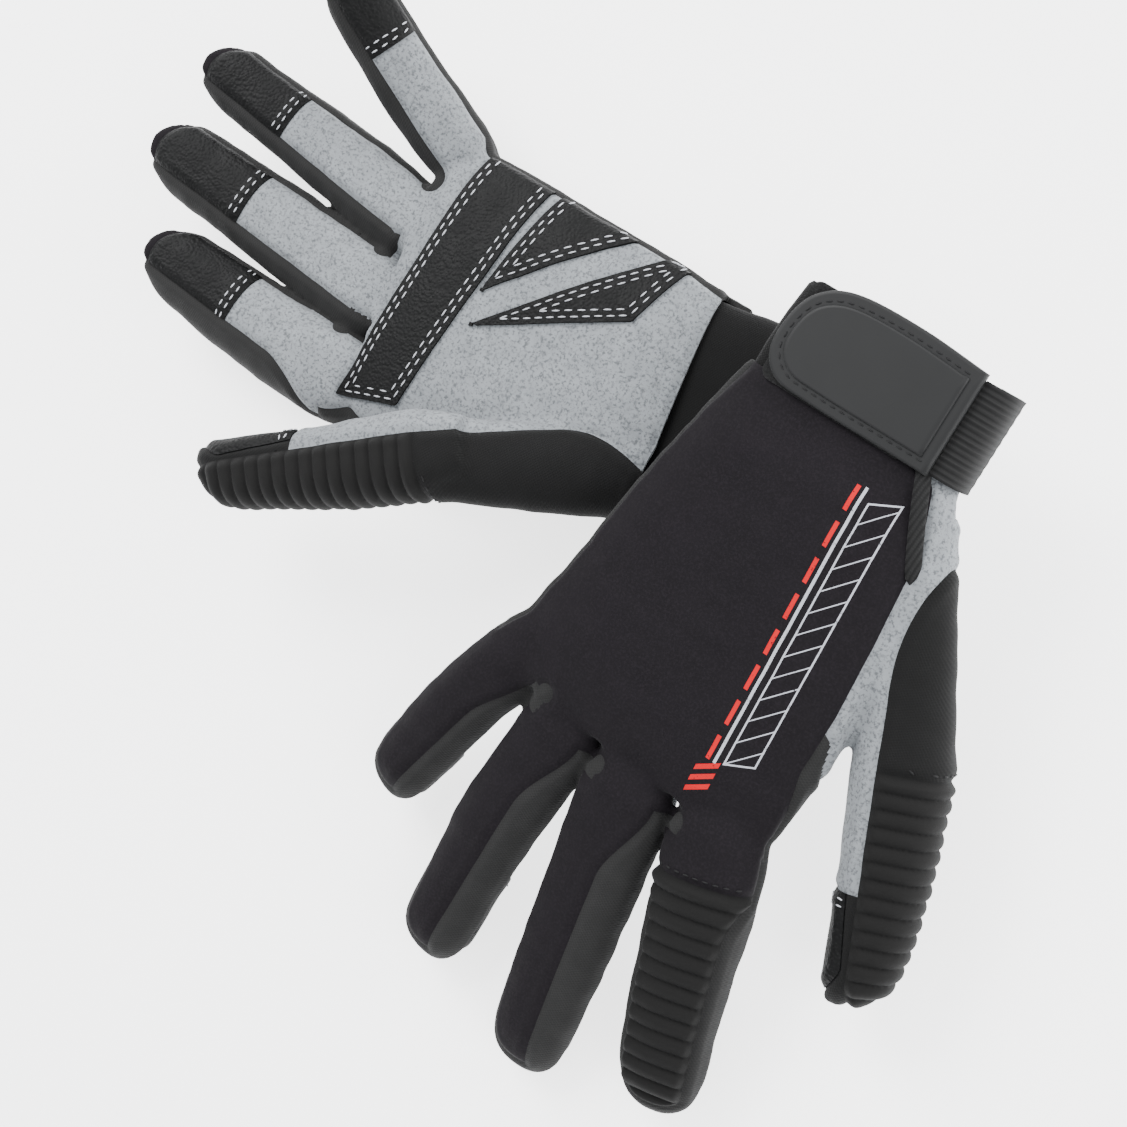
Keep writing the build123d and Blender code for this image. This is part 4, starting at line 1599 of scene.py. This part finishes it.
    def _webbing(self) -> bpy.types.Object:
        """Makes the elastic webbing round the thumb side of the wrist, from the strap's root to the palm."""
        mesh = bmesh.new()
        cut = mesh.verts.layers.float_vector.new("cut")
        path = []
        for share in np.linspace(0, 1, 40):
            turn = math.pi / 2 - share * math.pi
            x = 26.0 + 8.6 * max(0.0, math.cos(turn)) ** 0.7
            z = 11.2 + 9.45 * math.copysign(abs(math.sin(turn)) ** 0.8, math.sin(turn))
            path.append(Vector((x, 0, z)))
        rows = []
        for point in path:
            row = []
            for along in np.linspace(-6.5, 20.4, 19):
                bulge = 0.16 * math.cos(along * 2 * math.pi / 2.99)
                row.append(mesh.verts.new(point + Vector((bulge, along, 0))))
            rows.append(row)
        for near, far in zip(rows, rows[1:]):
            for a, b, c, d in zip(near, near[1:], far[1:], far):
                mesh.faces.new((a, b, c, d))
        bmesh.ops.recalc_face_normals(mesh, faces=mesh.faces)
        outward = sum((f.calc_center_median() - Vector((20, 7, 11.6))).dot(f.normal) for f in mesh.faces)
        if outward < 0:
            bmesh.ops.reverse_faces(mesh, faces=mesh.faces)
        for vert in mesh.verts:
            vert[cut] = vert.co * MM
        mesh.normal_update()
        self._thicken(mesh, 1.4)
        return self._object(mesh, "webbing", "elastic_webbing", "elastic_webbing")

    def _binding(self) -> bpy.types.Object:
        """Makes the folded tape round the slit at the wrist."""
        start, end = Vector((24.0, 19.0, 20.0)), Vector((37.2, 46.5, 18.0))
        mesh = bmesh.new()
        cut = mesh.verts.layers.float_vector.new("cut")
        sections = []
        for share in np.linspace(0, 1, 14):
            at = start.lerp(end, share) + Vector((0, 0, 1.5 * math.sin(math.pi * share)))
            cap = min(1.0, math.sqrt(max(0.02, 1 - max(0.0, (share - 0.86) / 0.14) ** 2)))
            turn = Matrix.Rotation(-math.radians(31), 4, "Z") @ Matrix.Rotation(math.radians(22), 4, "Y")
            sections.append((Matrix.Translation(at) @ turn, 2.1 * cap, 1.0 * cap, 2.6))
        Shaper.loft(mesh, sections)
        bmesh.ops.recalc_face_normals(mesh, faces=mesh.faces)
        for vert in mesh.verts:
            vert[cut] = vert.co * MM
        return self._object(mesh, "slit_binding", "binding_tape", "binding_tape")

    def build(self) -> None:
        """Makes every piece of the glove."""
        skin = self.skin()
        log.info("%s skin: %d faces", self.side.value, len(skin.faces))
        named = self.cut_panels(skin)
        skin.faces.index_update()
        self.relief(skin, named)
        self.panels(skin, named)
        self.grips(skin, named)
        self.stitches(skin, named)
        skin.free()
        self.cuff()
        self.strap()


# ------------------------------------------------------------------------------------------------- studio


@dataclass(frozen=True)
class Studio:
    """Floor, soft lights and camera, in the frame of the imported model, in metres."""

    eye: tuple[float, float, float] = (0.21576, 0.01759, 0.49714)
    target: tuple[float, float, float] = (0.0217, 0.0006, 0.0150)
    picture_up: float = 120.0
    lens: float = 58.2
    floor_grey: float = 0.92
    floor_glow: float = 2.4

    def floor(self) -> None:
        """Makes the plain pale floor."""
        mesh = bmesh.new()
        bmesh.ops.create_grid(mesh, x_segments=1, y_segments=1, size=3.0)
        data = bpy.data.meshes.new("floor")
        mesh.to_mesh(data)
        mesh.free()
        floor = bpy.data.objects.new("floor", data)
        bpy.context.scene.collection.objects.link(floor)
        kit = NodeKit("floor")
        grey = (self.floor_grey,) * 3
        data.materials.append(kit.finish(
            base_color=(*grey, 1.0), roughness=0.9, specular_ior_level=0.1,
            emission_color=(1.0, 1.0, 1.0, 1.0), emission_strength=self.floor_glow,
        ))
        floor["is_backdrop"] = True

    def lamp(self, name: str, at: Sequence[float], size: float, power: float) -> None:
        """Adds a soft square lamp that faces the gloves."""
        light = bpy.data.lights.new(name, "AREA")
        light.shape, light.size, light.energy = "SQUARE", size, power
        lamp = bpy.data.objects.new(name, light)
        bpy.context.scene.collection.objects.link(lamp)
        away = Vector(at) - Vector(self.target)
        lamp.matrix_world = Matrix.Translation(at) @ away.to_track_quat("Z", "Y").to_matrix().to_4x4()

    def camera(self) -> None:
        """Adds the camera over the gloves."""
        data = bpy.data.cameras.new("camera")
        data.lens, data.sensor_width = self.lens, 36.0
        data.clip_start, data.clip_end = 0.01, 20.0
        camera = bpy.data.objects.new("camera", data)
        bpy.context.scene.collection.objects.link(camera)
        back = (Vector(self.eye) - Vector(self.target)).normalized()
        turn = math.radians(self.picture_up)
        up = Vector((math.cos(turn), math.sin(turn), 0))
        up = (up - back * up.dot(back)).normalized()
        place = Matrix((up.cross(back), up, back)).transposed().to_4x4()
        place.translation = Vector(self.eye)
        camera.matrix_world = place
        bpy.context.scene.camera = camera

    def build(self) -> None:
        """Makes the whole studio."""
        self.floor()
        up = Vector((math.cos(math.radians(self.picture_up)), math.sin(math.radians(self.picture_up)), 0))
        side = Vector((up.y, -up.x, 0))
        middle = Vector((self.target[0], self.target[1], 0))
        self.lamp("key", middle + up * 0.75 - side * 0.35 + Vector((0, 0, 0.85)), 0.7, 21.0)
        self.lamp("fill", middle - up * 0.5 + side * 0.9 + Vector((0, 0, 0.8)), 0.9, 12.0)
        self.lamp("low", middle + side * 0.95 + up * 0.3 + Vector((0, 0, 0.35)), 0.5, 8.0)
        world = bpy.data.worlds.new("studio")
        world.use_nodes = True
        world.node_tree.nodes["Background"].inputs["Color"].default_value = (0.95, 0.97, 1.0, 1.0)
        world.node_tree.nodes["Background"].inputs["Strength"].default_value = 1.25
        bpy.context.scene.world = world
        self.camera()


def write_sizes() -> None:
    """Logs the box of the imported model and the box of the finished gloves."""
    boxes = {"frame": CAD_BOX, "visual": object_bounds()}
    plain = {name: [list(map(float, corner)) for corner in box] for name, box in boxes.items()}
    log.info("sizes: %s", plain)


def main() -> None:
    """Builds both gloves and the studio."""
    logging.basicConfig(level=logging.INFO, format="%(name)s: %(message)s")
    wardrobe = Wardrobe()
    for side in Side:
        Glove(side, wardrobe).build()
    Studio().build()
    write_sizes()


if __name__ == "__main__":
    main()
